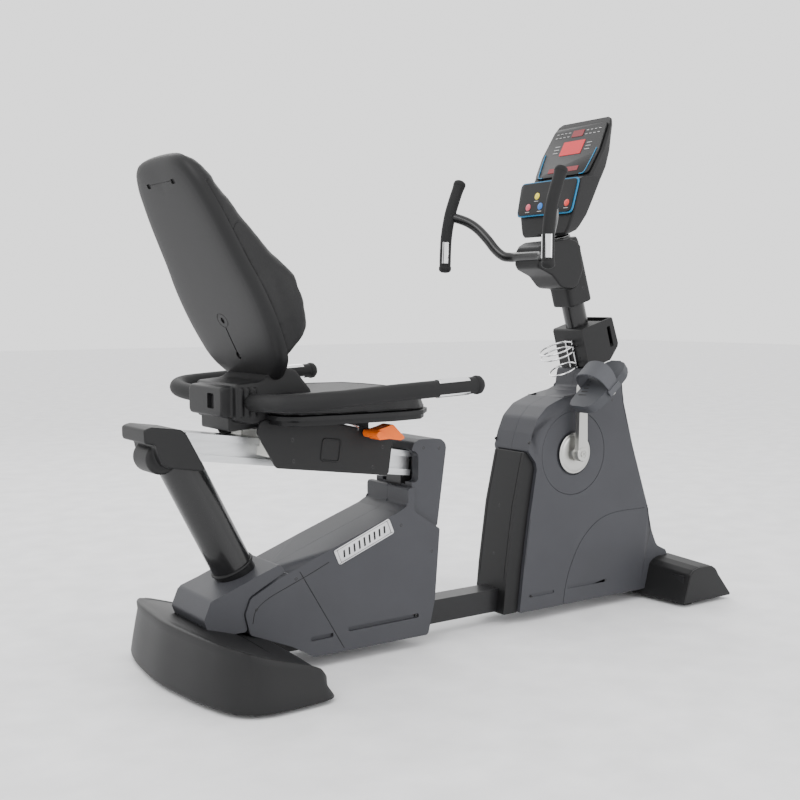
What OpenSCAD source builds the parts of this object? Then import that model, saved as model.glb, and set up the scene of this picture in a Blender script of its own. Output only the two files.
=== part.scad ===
// Recumbent exercise bike, millimetres, +X towards the console, +Y the rider's left, +Z up, floor at Z = 0.
// Two feet joined by a low beam, a front housing with the drive, a rear housing that carries a sloping
// rail, and a seat that slides along the rail.

/* [Drive] */
// Crank arm length, axle centre to pedal centre
crank_len = 170; // [165:1:175]
// Crank axle height above the floor
crank_z = 426; // [410:1:440]
// Drive pulley radius
pulley_r = 105; // [95:1:108]
// Flywheel radius
fly_r = 106; // [95:1:108]
// Flywheel pulley radius
small_r = 26; // [20:1:30]

/* [Shells] */
// Half width of the front housing
front_w = 68; // [60:1:72]
// Half width of the rear housing
rear_w = 88; // [80:1:92]
// Wall of the moulded covers
wall = 3; // [2.5:0.5:4]

/* [Seat] */
// Slope of the seat rail, degrees
rail_slope = 8; // [6:0.5:10]
// Backrest lean from upright, degrees
back_lean = 25.6; // [20:0.1:30]
// Armrest half spacing
arm_y = 350; // [320:1:360]
// Half width of the seat
seat_w = 212; // [190:1:220]

/* [Mast] */
// Mast tube radius
mast_r = 30; // [28:1:32]
// Handlebar tube radius
bar_r = 12.5; // [11:0.5:14]

/* [Hidden] */
$fn = 48;
crank_x = 347;
fly_x = 400;
fly_z = 215;
mast_lean = atan(0.30);
arm_c = 96;
pedal_tilt = 40;
keys = [[35, 52], [-15, 52], [-84, 26], [63, 24], [16, 24], [-32, 24]];

function mx(z) = 416 - 0.30 * (z - 756);

// a side outline, X and Z, made solid between two Y values
module slab(y0, y1) {
  translate([0, y1, 0]) rotate([90, 0, 0]) linear_extrude(height = y1 - y0) children();
}

// a front outline, Y and Z, made solid between two X values
module fore(x0, x1) {
  translate([x0, 0, 0]) rotate([90, 0, 90]) linear_extrude(height = x1 - x0) children();
}

module rod(a, b, r) {
  d = b - a;
  l = norm(d);
  translate(a) rotate([0, acos(d[2] / l), atan2(d[1], d[0])]) cylinder(h = l, r = r);
}

module run(p, r) {
  for (i = [0 : len(p) - 2]) rod(p[i], p[i + 1], r, $fn = 12);
  for (i = [1 : len(p) - 2]) translate(p[i]) sphere(r = r, $fn = 12);
}

module yrod(x, z, y0, y1, r) {
  translate([x, y1, z]) rotate([90, 0, 0]) cylinder(h = y1 - y0, r = r);
}

module mast_frame(z) {
  translate([mx(z), 0, z]) rotate([0, -mast_lean, 0]) children();
}

module rail_frame() {
  translate([-217, 0, 474]) rotate([0, rail_slope, 0]) children();
}

module back_plane() {
  translate([-643, 0, 900]) rotate([0, -back_lean, 0]) children();
}

module flip(s) {
  if (s > 0) children(); else mirror([0, 1, 0]) children();
}

// ---- welded frame ----
module main_beam() color([0.09, 0.09, 0.1]) {
  difference() {
    translate([-590, -30, 32]) cube([1230, 60, 58]);
    translate([-587, -27, 35]) cube([1224, 54, 52]);
  }
}

module foot_tubes() color([0.09, 0.09, 0.1]) {
  rail_leg();
  difference() {
    translate([-650.5, -275, 32]) cube([60, 550, 50]);
    translate([-647.5, -272, 35]) cube([54, 544, 44]);
  }
  difference() {
    translate([640.5, -190, 32]) cube([60, 380, 50]);
    translate([643.5, -187, 35]) cube([54, 374, 44]);
  }
}

module rear_plan(o) {
  offset(delta = -o) polygon([[-505, -298], [-600, -305], [-665, -311], [-703, -299], [-733, -260],
    [-757, -180], [-770, -99], [-776, 0], [-770, 99], [-757, 180], [-733, 260], [-703, 299],
    [-665, 311], [-600, 305], [-505, 298]]);
}

module rear_side(o) {
  offset(delta = -o) polygon([[-790, 8], [-500, 8], [-504, 36], [-540, 80], [-570, 94], [-615, 108],
    [-670, 126], [-712, 138], [-742, 140], [-752, 118]]);
}

module rear_body(o) {
  intersection() {
    translate([0, 0, 8]) linear_extrude(height = 140) rear_plan(o);
    slab(-330, 330) rear_side(o);
  }
}

module rear_foot_cover() color([0.15, 0.15, 0.15]) {
  difference() {
    rear_body(0);
    difference() {
      rear_body(wall);
      translate([-800, -330, 0]) cube([320, 660, 8]);
    }
    linear_extrude(height = 14) rear_plan(12);
    translate([-652, -277, 30]) cube([62, 554, 54]);
    translate([-592, -30.6, 31]) cube([100, 61.2, 60]);
    slab(-rear_w - 0.6, rear_w + 0.6) offset(delta = 0.6) side_line();
    slab(-rear_w - 0.6, rear_w + 0.6) offset(delta = 0.6) saddle_line();
    translate([-540, -40, 0]) cube([60, 80, 110]);
  }
}

module front_prof(dx, dz) {
  polygon([[627 + dx, 10], [650 + dx, 86 + dz], [664 + dx, 97 + dz], [687 + dx, 103 + dz],
    [735 + dx, 102 + dz], [750 + dx, 93 + dz], [763 + dx, 74], [816 + dx, 14], [814 + dx, 10]]);
}

module front_foot_cover() color([0.15, 0.15, 0.15]) {
  difference() {
    union() {
      for (s = [-1, 1]) flip(s) hull() {
        slab(204, 206) front_prof(0, 0);
        slab(0, 60) front_prof(-14, 12);
      }
    }
    for (s = [-1, 1]) flip(s) hull() {
      slab(201, 202) translate([0, -1]) offset(delta = -3.2) front_prof(0, 0);
      slab(-1, 60) translate([0, -1]) offset(delta = -3.2) front_prof(-14, 12);
    }
    translate([600, -204, 0]) cube([220, 408, 12.5]);
    translate([639, -191, 30]) cube([64, 382, 54]);
    slab(-front_w - 0.6, front_w + 0.6) offset(delta = 0.6) front_line();
    translate([590, -30.5, 31]) cube([60, 61, 60]);
  }
}

module levelling_feet() color([0.05, 0.05, 0.05]) {
  for (x = [-640, 671], s = [-1, 1]) translate([x, s * (x < 0 ? 258 : 165), 0]) {
    cylinder(h = 12, r1 = 21, r2 = 18);
    translate([0, 0, 11.5]) cylinder(h = 20.2, r = 5);
  }
}

module front_mast() color([0.1, 0.1, 0.1]) {
  difference() {
    rod([mx(99.5), 0, 99.5], [mx(985), 0, 985], mast_r);
    rod([mx(60), 0, 60], [mx(995), 0, 995], mast_r - 3);
  }
}

module drive_bracket() color([0.12, 0.12, 0.12]) {
  difference() {
    union() {
      stator();
      difference() {
        union() {
          yrod(crank_x, crank_z, -20, 54, 24);
          slab(-18, 18) polygon([[crank_x + 10, 404], [crank_x + 10, 448], [482, 442], [494, 408]]);
          slab(-20, -14) polygon([[345, 90.2], [455, 90.2], [425, 225], [412, 240], [388, 240], [375, 225]]);
          slab(24, 29.8) polygon([[345, 90.2], [455, 90.2], [425, 225], [412, 240], [388, 240], [375, 225]]);
        }
        yrod(crank_x, crank_z, -30, 60, 10.05);
        yrod(fly_x, fly_z, -30, 40, 8.55);
      }
    }
    rod([mx(60), 0, 60], [mx(700), 0, 700], mast_r + 0.03);
  }
}

module stator() {
  difference() {
    union() {
      yrod(fly_x, fly_z, -13.9, -9, 30);
      yrod(fly_x, fly_z, -9.2, 4, 78);
    }
    yrod(fly_x, fly_z, -20, 20, 14);
    for (a = [0 : 30 : 330]) translate([fly_x, 0, fly_z]) rotate([0, a, 0])
      translate([60, 0, 0]) yrod(0, 0, -20, 20, 5);
  }
}

module drive_belt() color([0.05, 0.05, 0.05]) {
  difference() {
    slab(-44, -27) hull() {
      translate([crank_x, crank_z]) circle(r = pulley_r + 3.4);
      translate([fly_x, fly_z]) circle(r = small_r + 3.4);
    }
    slab(-50, -20) hull() {
      translate([crank_x, crank_z]) circle(r = pulley_r + 0.3);
      translate([fly_x, fly_z]) circle(r = small_r + 0.3);
    }
  }
}

// ---- front housing ----
module front_line() {
  polygon([[168, 28], [182, 148], [199, 266], [221, 392], [217, 410], [191, 441], [204, 484], [221, 522],
    [254, 552], [306, 571], [377, 584], [402, 592], [410, 642], [505, 645], [517, 600], [524, 556],
    [562, 432], [624, 261], [642, 190], [663, 145], [702, 127], [706, 108], [660, 100], [632, 30],
    [600, 28]]);
}

module half_shell(o, w) {
  slab(0.15, w - 14 - o) offset(delta = -o) children();
  slab(w - 14.01 - o, w - 6 - o) offset(delta = -(o + 3)) children();
  slab(w - 6.01 - o, w - o) offset(delta = -(o + 11)) children();
}

module front_half(s) {
  flip(s) difference() {
    union() {
      difference() {
        half_shell(0, front_w) front_line();
        half_shell(wall, front_w) front_line();
        yrod(crank_x, crank_z, front_w - 10, front_w + 5, 109.4);
      }
      difference() {
        yrod(crank_x, crank_z, front_w - 6, front_w - 2, 113);
        yrod(crank_x, crank_z, front_w - 3.1, front_w + 1, 109.4);
        yrod(crank_x, crank_z, front_w - 12, front_w + 1, 103);
      }
    }
    rod([mx(520), 0, 520], [mx(700), 0, 700], mast_r + 0.6);
    translate([150, -1, 20]) cube([560, 31.5, 71]);
    translate([150, -1, 20]) cube([440, 60, 14]);
    translate([636, -1, 20]) cube([80, 80, 66]);
    slab(front_w - 1.2, front_w + 1) difference() {
      polygon([[314, 20], [327, 93], [354, 156], [389, 205], [443, 242], [498, 256], [640, 256],
        [640, 253], [498, 253], [444, 239], [391, 203], [357, 154], [330, 92], [317, 20]]);
    }
    slab(front_w - 2, front_w + 1) polygon([[196, 66], [285, 66], [285, 74], [196, 74]]);
    slab(front_w - 2, front_w + 1) polygon([[330, 70], [470, 70], [470, 78], [330, 78]]);
  }
}

module front_shell_right() color([0.33, 0.335, 0.355]) front_half(-1);
module front_shell_left() color([0.33, 0.335, 0.355]) front_half(1);

module hub_plate(s) {
  flip(s) difference() {
    yrod(crank_x, crank_z, front_w - 3, front_w, 109);
    yrod(crank_x, crank_z, front_w - 9, front_w + 5, 16);
  }
}

module hub_plates() color([0.33, 0.335, 0.355]) {
  hub_plate(-1);
  hub_plate(1);
}

module column_line() {
  polygon([[122, 28], [134, 148], [156, 304], [187, 437], [189, 439], [215, 408.5], [219, 391.5],
    [197.5, 266], [180.5, 148], [166.5, 28]]);
}

module column_cover() color([0.13, 0.13, 0.13]) {
  difference() {
    union() {
      slab(-52, 52) column_line();
      slab(-58, 58) offset(delta = -5) column_line();
    }
    slab(-49, 49) offset(delta = -wall) column_line();
    slab(-55, 55) offset(delta = -8) column_line();
    translate([110, -30.5, 20]) cube([100, 61, 71]);
    slab(-54, 54) polygon([[160, 20], [190, 20], [235, 400], [205, 420], [176, 250]]);
    for (z = [175, 297]) translate([100, 0, z]) rotate([0, 90, 0]) cylinder(h = 80, r = 3);
  }
}

// ---- rear housing ----
module side_line() {
  polygon([[-600, 104], [-610, 150], [-598, 183], [-558, 203], [-508, 226], [-383, 272], [-216, 331],
    [-190, 342], [-190, 384], [-172, 384], [-172, 328], [-99, 280], [-113, 110], [-133, 28],
    [-443, 28], [-500, 62]]);
}

module rear_half(s) {
  flip(s) difference() {
    half_shell(0, rear_w) side_line();
    half_shell(wall, rear_w) side_line();
    translate([-592, -1, 20]) cube([521.5, 31.5, 71]);
    rod([-718, 0, 474], [-500, 0, 46.5], 45.6);
    slab(rear_w - 1.2, rear_w + 1) polygon([[-475, 275], [-472, 275], [-350, 25], [-353, 25]]);
    slab(rear_w - 2, rear_w + 1) polygon([[-356, 70], [-158, 72], [-158, 84], [-356, 82]]);
    slab(rear_w - 2, rear_w + 1) polygon([[-450, 66], [-394, 66], [-394, 76], [-450, 76]]);
    rail_frame() translate([-200, -1, -75]) cube([300, 47, 90]);
    translate([-176, -1, 60]) cube([56, 41, 400]);
  }
}

module rear_shell_right() color([0.33, 0.335, 0.355]) rear_half(-1);
module rear_shell_left() color([0.33, 0.335, 0.355]) rear_half(1);

module cap_line() {
  polygon([[-171, 330], [-171, 470], [-166, 486], [-150, 495], [-84, 492], [-70, 478], [-94, 300],
    [-98, 281.6]]);
}

module rear_cap_shell() color([0.33, 0.335, 0.355]) {
  difference() {
    union() {
      slab(-68, 68) cap_line();
      slab(-74, 74) offset(delta = -7) cap_line();
    }
    slab(-66, 66) offset(delta = -wall) cap_line();
    slab(-71, 71) offset(delta = -10) cap_line();
    rail_frame() translate([-100, -45.6, -59.2]) cube([190, 91.2, 60]);
    translate([-180, -60, 340]) cube([16, 120, 55]);
    translate([-176, -31, 250]) cube([60, 62, 160]);
    translate([-150, -60, 270]) cube([44, 120, 60]);
  }
}

module saddle_line() {
  polygon([[-690, 112], [-705, 150], [-688, 190], [-640, 206], [-577, 230], [-524, 247], [-512, 228.5],
    [-560, 206], [-600, 185.5], [-612.6, 150], [-604, 112]]);
}

module rear_saddle() color([0.33, 0.335, 0.355]) {
  difference() {
    union() {
      slab(-rear_w + 14, rear_w - 14) saddle_line();
      slab(-rear_w + 4, rear_w - 4) offset(delta = -4) saddle_line();
    }
    rod([-718, 0, 474], [-500, 0, 46.5], 45.6);
  }
}

module badge_plate() color([0.75, 0.75, 0.76]) {
  slab(-rear_w - 1.6, -rear_w - 0.1) offset(r = 3) offset(delta = -3)
    polygon([[-393, 262], [-245, 320], [-230, 285], [-378, 228]]);
}

module rear_post() color([0.08, 0.08, 0.08]) {
  difference() {
    rod([-708.5, 0, 455], [-535, 0, 114.8], 45);
    rod([-709.5, 0, 457], [-530, 0, 105], 42);
  }
}

module end_line() {
  polygon([[-816, 527], [-816, 556], [-800, 560], [-735, 552], [-726, 543], [-685, 468], [-690, 462],
    [-765, 474], [-778, 482], [-788, 500], [-790, 520]]);
}

module rail_end_cap() color([0.13, 0.13, 0.13]) {
  difference() {
    union() {
      slab(-56, 56) end_line();
      slab(-62, 62) offset(delta = -5) end_line();
    }
    rail_frame() translate([-508, -45.5, -59]) cube([200, 91, 59.6]);
    rod([-718, 0, 474], [-600, 0, 242.6], 45.5);
  }
}

module seat_rail() color([0.72, 0.73, 0.74]) {
  rail_frame() difference() {
    fore(-507, 70) polygon([[-45, 0], [45, 0], [45, -14], [36, -14], [36, -44], [45, -44], [45, -58.4],
      [-45, -58.4], [-45, -44], [-36, -44], [-36, -14], [-45, -14]]);
    fore(-510, 80) polygon([[-42, -3], [42, -3], [42, -11], [33, -11], [33, -47], [42, -47],
      [42, -55.4], [-42, -55.4], [-42, -47], [-33, -47], [-33, -11], [-42, -11]]);
  }
}

module rail_leg() {
  difference() {
    slab(-30, 30) polygon([[-172, 90.3], [-120, 90.3], [-120, 401.1], [-172, 408.4]]);
    slab(-27, 27) polygon([[-169, 93], [-123, 93], [-123, 399], [-169, 405]]);
  }
}

// ---- mast, holder, bars, console ----
module holder_box() color([0.12, 0.12, 0.12]) {
  difference() {
    mast_frame(652) difference() {
      slab(-56, 56) polygon([[-38, 4], [-38, 104], [-33, 108], [76, 108], [80, 30], [40, 0], [-32, 0]]);
      slab(-52, 52) polygon([[36, 16], [38, 120], [72, 120], [76, 34], [40, 8]]);
      slab(-70, -40) polygon([[50, 32], [50, 86], [62, 86], [62, 32]]);
    }
    rod([mx(500), 0, 500], [mx(900), 0, 900], mast_r + 0.3);
  }
}

module hoop(x, z, r, t) {
  translate([x, 0, z]) rotate([0, t, 0]) rotate_extrude() translate([r, 0]) circle(r = 2.6, $fn = 24);
}

module bottle_cage() color([0.8, 0.8, 0.82]) {
  mast_frame(652) {
    hoop(-87, 70, 44, -8);
    hoop(-87, 56, 44, -8);
    hoop(-79, 11, 36, -12);
    for (s = [-1, 1]) {
      rod([-40.8, s * 12, 76], [-40.8, s * 12, 6], 2.6);
      rod([-87, s * 44, 72], [-79, s * 36, 9], 2.6);
    }
  }
}

module mast_cover() color([0.13, 0.13, 0.13]) {
  difference() {
    union() {
      mast_frame(812) linear_extrude(height = 172) offset(r = 14) square([50, 50], center = true);
      slab(-48, 48) offset(r = 5) offset(delta = -5) polygon([[238, 902], [243, 955], [270, 969],
        [345, 978], [380, 968], [392, 900], [370, 850], [318, 852], [292, 880]]);
    }
    rod([mx(700), 0, 700], [mx(1050), 0, 1050], mast_r + 0.3);
    translate([245, 0, 932]) rotate([90, 0, 0]) cylinder(h = 200, r = bar_r + 0.05, center = true);
  }
}

function bar_side(s) = [[245, s * 46, 932], [240, s * 62, 931], [229, s * 80, 933], [221, s * 100, 947],
  [209, s * 120, 975], [196, s * 145, 1005], [180, s * 165, 1022], [164, s * 182, 1031]];

function grip(s) = [[173, s * 198, 1122], [157, s * 199, 1082], [143, s * 200, 1039], [132, s * 202, 979],
  [131, s * 204, 906]];

module handlebar() color([0.1, 0.1, 0.1]) {
  yrod(245, 932, -47, 47, bar_r);
  for (s = [-1, 1]) run(bar_side(s), bar_r);
  for (s = [-1, 1]) difference() {
    rod([164, s * 182, 1031], [150, s * 197, 1037], bar_r);
    run(grip(s), 15.2);
  }
}

module handle_grips() color([0.1, 0.1, 0.1]) {
  for (s = [-1, 1]) {
    run(grip(s), 15);
    translate(grip(s)[0]) sphere(r = 15, $fn = 12);
    translate(grip(s)[4]) sphere(r = 15, $fn = 12);
  }
}

module sleeve(a, b, outer, inner) {
  d = b - a;
  l = norm(d);
  translate(a) rotate([0, acos(d[2] / l), atan2(d[1], d[0])]) difference() {
    cylinder(h = l, r = outer);
    translate([0, 0, -1]) cylinder(h = l + 2, r = inner);
  }
}

module handle_plates() color([0.8, 0.8, 0.82]) {
  for (s = [-1, 1]) {
    low = grip(s)[4];
    step = grip(s)[3] - low;
    sleeve(low + step * 0.14, low + step * 0.92, 16.6, 15.1);
  }
}

module face(z) {
  // local z climbs the display face, local x points back into the console
  translate([348.5, 0, 1130]) rotate([0, 28.3, 0]) translate([0, 0, z]) children();
}

module pad_face() {
  translate([296.5, 0, 1037]) rotate([0, 13.5, 0]) children();
}

module console_back() color([0.14, 0.14, 0.14]) {
  difference() {
   intersection() {
    slab(-120, 120) polygon([[444, 1283], [438, 1257], [418, 1161], [378, 1072], [353, 1018], [338, 998],
      [298, 984], [294, 990], [301, 1036], [323, 1128], [352, 1130], [433, 1288]]);
    fore(200, 500) offset(r = 12) offset(delta = -12) polygon([[-84, 980], [-104, 1040], [-110, 1130],
      [-116, 1200], [-107, 1272], [-92, 1288], [92, 1288], [107, 1272], [116, 1200], [110, 1130],
      [104, 1040], [84, 980]]);
   }
   face(0) fore(-9, 0.05) offset(delta = 0.5) face_line();
  }
}

// outline of the gloss display face
module face_line() {
  offset(r = 10) offset(delta = -10) polygon([[-102, 10], [-108, 78], [-98, 164], [98, 164], [108, 78],
    [102, 10]]);
}

module console_front() color([0.03, 0.03, 0.03]) {
  face(0) fore(-3, 0) face_line();
}

module screen_windows() color([0.8, 0.2, 0.22]) {
  face(0) {
    fore(-4, -3.05) translate([-41, 72]) square([82, 44]);
    fore(-4, -3.05) translate([-22, 128]) square([44, 20]);
    fore(-4, -3.05) translate([-62, 22]) square([124, 14]);
  }
}

module console_trim() color([0.16, 0.5, 0.66]) {
  face(0) for (s = [-1, 1]) fore(-4.2, -3.05)
    polygon([[s * 92, 16], [s * 98, 84], [s * 94.5, 84], [s * 88.5, 16]]);
  pad_face() difference() {
    fore(-2.5, -0.05) offset(r = 14) offset(delta = -14) polygon([[-106, 0], [106, 0], [111, 92],
      [-111, 92]]);
    for (k = keys) fore(-10, 10) translate(k) circle(r = 10);
  }
}

module keypad_panel() color([0.17, 0.17, 0.18]) {
  pad_face() difference() {
    fore(-6, -2.55) offset(r = 13) offset(delta = -13) polygon([[-102, 3.5], [102, 3.5], [107, 88.5],
      [-107, 88.5]]);
    for (k = keys) fore(-10, 10) translate(k) circle(r = 9.4);
  }
}

module key(i) {
  pad_face() fore(-7.4, -3.6) translate(keys[i - 1]) circle(r = 9);
}

module key_1() color([0.85, 0.8, 0.2]) key(1);
module key_2() color([0.9, 0.9, 0.9]) key(2);
module key_3() color([0.8, 0.2, 0.2]) key(3);
module key_4() color([0.8, 0.3, 0.35]) key(4);
module key_5() color([0.2, 0.45, 0.8]) key(5);
module key_6() color([0.7, 0.75, 0.2]) key(6);

// ---- crank, pedals, flywheel ----
module crank_axle() color([0.7, 0.7, 0.7]) {
  difference() {
    yrod(crank_x, crank_z, -88, 88, 10);
    yrod(crank_x, crank_z, 70, 89, 4);
  }
}

module drive_pulley() color([0.1, 0.1, 0.1]) {
  difference() {
    union() {
      yrod(crank_x, crank_z, -46, -25, pulley_r);
      yrod(crank_x, crank_z, -50, -22, 22);
    }
    difference() {
      union() {
        yrod(crank_x, crank_z, -47, -38, pulley_r - 9);
        yrod(crank_x, crank_z, -33, -24, pulley_r - 9);
      }
      yrod(crank_x, crank_z, -60, -10, 22);
    }
    for (a = [0 : 60 : 300]) translate([crank_x, 0, crank_z]) rotate([0, a, 0])
      yrod(60, 0, -60, -10, 16);
    yrod(crank_x, crank_z, -60, -10, 10.02);
  }
}

module arm(s, d) {
  flip(s) {
    difference() {
      union() {
        slab(arm_c - 7, arm_c + 7) hull() {
          translate([crank_x, crank_z]) circle(r = 17);
          translate([crank_x, crank_z + d * crank_len]) circle(r = 13);
        }
        yrod(crank_x, crank_z, 77, arm_c + 8, 19);
      }
      yrod(crank_x, crank_z, 70, 88.2, 10.02);
      yrod(crank_x, crank_z, arm_c + 3, arm_c + 10, 9);
    }
    yrod(crank_x, crank_z + d * crank_len, arm_c + 6.9, 205, 7);
    yrod(crank_x, crank_z + d * crank_len, 205, 208, 11);
  }
}

module crank_arm_right() color([0.72, 0.72, 0.7]) arm(-1, 1);
module crank_arm_left() color([0.72, 0.72, 0.7]) arm(1, -1);

module disc(s) {
  flip(s) difference() {
    union() {
      yrod(crank_x, crank_z, 71, 74, 53);
      yrod(crank_x, crank_z, 74, 76.8, 47);
    }
    yrod(crank_x, crank_z, 60, 80, 10.02);
  }
}

module crank_disc_right() color([0.72, 0.72, 0.7]) disc(-1);
module crank_disc_left() color([0.72, 0.72, 0.7]) disc(1);

function pz(s) = crank_z + (s < 0 ? crank_len : -crank_len);

module pedal_place(s) {
  translate([crank_x, 0, pz(s)]) rotate([0, -pedal_tilt, 0]) flip(s) children();
}

module pedal(s) {
  pedal_place(s) difference() {
    union() {
      slab(112, 200) offset(r = 6) offset(delta = -6) polygon([[-78, -4], [-78, 10], [-50, 14], [60, 14],
        [92, 22], [92, 8], [60, -10], [20, -17], [-30, -17]]);
      slab(108, 203) offset(r = 4) offset(delta = -4) polygon([[-68, -3], [-68, 7], [-50, 10], [60, 10],
        [82, 16], [82, 8], [56, -7], [20, -13], [-30, -13]]);
    }
    yrod(0, 0, 100, 220, 7.05);
    yrod(0, 0, 201, 220, 12);
  }
}

module pedal_right() color([0.3, 0.31, 0.33]) pedal(-1);
module pedal_left() color([0.3, 0.31, 0.33]) pedal(1);

module strap(s) {
  pedal_place(s) translate([0, 0, 14.4]) difference() {
    slabx(-16, 34, 106, 206, 50);
    slabx(-17, 35, 109.5, 202.5, 46.5);
  }
}

module slabx(x0, x1, y0, y1, h) {
  fore(x0, x1) polygon([[y0, 0], [y0, h * 0.45], [y0 + 12, h * 0.8], [y0 + 30, h], [y1 - 30, h],
    [y1 - 12, h * 0.8], [y1, h * 0.45], [y1, 0]]);
}

module pedal_strap_right() color([0.2, 0.2, 0.21]) strap(-1);
module pedal_strap_left() color([0.2, 0.2, 0.21]) strap(1);

module flywheel() color([0.3, 0.3, 0.31]) {
  difference() {
    yrod(fly_x, fly_z, -10, 20, fly_r);
    yrod(fly_x, fly_z, -11, 8, fly_r - 20);
  }
  yrod(fly_x, fly_z, -48, 35, 8.5);
  yrod(fly_x, fly_z, -46, -25, small_r);
}

// ---- sliding seat ----
module plate_line() {
  polygon([[-370, 4], [-364, 24], [-300, 32], [-60, 36], [-36, 34], [-30, 20], [-30, -50], [-36, -57],
    [-318, -58]]);
}

module seat_carriage() color([0.13, 0.13, 0.13]) {
  rail_frame() {
    for (s = [-1, 1]) flip(s) difference() {
      slab(97, 102) plate_line();
      slab(101, 103) offset(r = 6) offset(delta = -6) polygon([[-212, -34], [-212, 14], [-166, 14],
        [-166, -34]]);
    }
    translate([-350, -97.1, 18.5]) cube([305, 194.2, 6]);
  }
  slab(-60, 60) polygon([[-540, 545.5], [-540, 555.6], [-280, 555.6], [-280, 509.5]]);
  yrod(-318, 524, -108, -101.9, 12);
}

module slide_pads() color([0.75, 0.75, 0.72]) {
  rail_frame() for (x = [-335, -95]) {
    translate([x, -40, 0.3]) cube([40, 80, 18]);
    for (s = [-1, 1]) flip(s) {
      translate([x, 45.4, -36]) cube([40, 51.4, 50]);
      translate([x, 36.5, -36]) cube([40, 9, 20]);
    }
  }
}

module carriage_cover() color([0.13, 0.13, 0.13]) {
  difference() {
    union() {
      slab(-100, 100) offset(r = 8) offset(delta = -8) polygon([[-630, 572], [-630, 643], [-571, 648],
        [-540, 668], [-516, 676], [-488, 668], [-452, 626], [-440, 558], [-600, 558]]);
      slab(-80, 80) offset(r = 5) offset(delta = -5) polygon([[-656, 574], [-656, 636], [-610, 640],
        [-600, 600], [-610, 570]]);
      slab(-70, 70) polygon([[-633, 541], [-633, 575], [-560, 562], [-545, 548], [-570, 548]]);
    }
    rail_frame() translate([-351, -98, -20]) cube([330, 196, 45.2]);
    translate([-664, -46, 588]) cube([16, 34, 34]);
    back_plane() for (s = [-1, 1]) translate([-13, s * 45, -345]) cylinder(h = 200, r = 11.3);
    back_plane() fore(-30, 60) polygon([[-115, -271], [-140, -200], [140, -200], [115, -271]]);
    back_plane() fore(-26, 1) offset(delta = 1) back_line();
    slab(-seat_w, seat_w) polygon([[-570, 555.7], [-570, 625], [-400, 625], [-400, 555.7]]);
    for (s = [-1, 1]) rod([-592, s * 80, 603], [-596, s * 150, 606], 18.6);
  }
}

function arm_run(s) = [[-592, s * 82, 603], [-596, s * 150, 606], [-600, s * 230, 610],
  [-594, s * 280, 614], [-572, s * 322, 618], [-540, s * 343, 622], [-500, s * arm_y, 625],
  [-393, s * arm_y, 631], [-199, s * arm_y, 639]];

module armrest_tube() color([0.12, 0.12, 0.12]) {
  for (s = [-1, 1]) {
    run(arm_run(s), 18);
    translate(arm_run(s)[8]) sphere(r = 19, $fn = 12);
  }
}

module armrest_plates() color([0.8, 0.8, 0.82]) {
  for (s = [-1, 1]) difference() {
    rod([-300, s * arm_y, 634.8], [-222, s * arm_y, 638.1], 19.6);
    rod([-393, s * arm_y, 631], [-199, s * arm_y, 639], 18.05);
    translate([-260, s * arm_y, 636]) cube([200, 60, 9], center = true);
  }
}

module seat_plan(o) {
  offset(r = 20) offset(delta = -20 - o) polygon([[-566, -168], [-540, -190], [-300, -seat_w],
    [-225, -200], [-170, -140], [-152, -70], [-152, 70], [-170, 140], [-225, 200], [-300, seat_w],
    [-540, 190], [-566, 168]]);
}

module seat_pan() color([0.12, 0.12, 0.12]) {
  translate([0, 0, 556]) linear_extrude(height = 12) seat_plan(12);
  translate([0, 0, 567.9]) linear_extrude(height = 8) seat_plan(2);
}

module seat_cushion() color([0.1, 0.1, 0.1]) {
  difference() {
    union() {
      translate([0, 0, 576.3]) linear_extrude(height = 20) seat_plan(0);
      translate([0, 0, 596.2]) linear_extrude(height = 14) seat_plan(7);
      translate([0, 0, 610.1]) linear_extrude(height = 9) seat_plan(22);
    }
    back_plane() for (s = [-1, 1]) translate([-13, s * 45, -380]) cylinder(h = 235, r = 12);
  }
}

module back_line() {
  polygon([[60, 232], [115, 218], [145, 180], [158, 140], [168, 100], [176, 50], [183, 0], [197, -55],
    [200, -111], [191, -166], [172, -222], [130, -258], [80, -277], [-80, -277], [-130, -258],
    [-172, -222], [-191, -166], [-200, -111], [-197, -55], [-183, 0], [-176, 50], [-168, 100],
    [-158, 140], [-145, 180], [-115, 218], [-60, 232]]);
}

module back_shell() color([0.12, 0.12, 0.12]) {
  back_plane() difference() {
    union() {
      fore(-14, 0) back_line();
      fore(-25, -13.9) offset(delta = -9) back_line();
    }
    fore(-12, 1) offset(delta = -wall) back_line();
    fore(-22, -11) offset(delta = -12) back_line();
    for (s = [-1, 1]) translate([-13, s * 45, -345]) cylinder(h = 200, r = 11.3);
  }
}

module back_frame() color([0.1, 0.1, 0.1]) {
  back_plane() {
    for (s = [-1, 1]) translate([-11, s * 45, -318]) cylinder(h = 330, r = 9);
    translate([-19.5, -110, -60]) cube([19, 220, 30]);
    translate([-19.5, -80, -10]) cube([19, 160, 20]);
  }
}

module back_cushion() color([0.1, 0.1, 0.1]) {
  back_plane() intersection() {
    fore(0.3, 120) back_line();
    slab(-220, 220) polygon([[0.3, -228], [20, -222], [60, -202], [74, -186], [83, -132], [86, -80],
      [66, -14], [43, 77], [32, 157], [29, 212], [18, 228], [0.3, 232]]);
  }
}

module seat_lever() color([0.98, 0.43, 0.05]) {
  slab(-166, -112) offset(r = 3) offset(delta = -3) polygon([[-318, 512], [-322, 534], [-300, 538],
    [-279, 545], [-247, 512], [-260, 508], [-290, 512]]);
  yrod(-318, 524, -166, -108.3, 9);
}

module clamp_shoe() color([0.2, 0.2, 0.2]) {
  rail_frame() translate([-220, -30, 0.3]) cube([50, 60, 12]);
}

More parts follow.
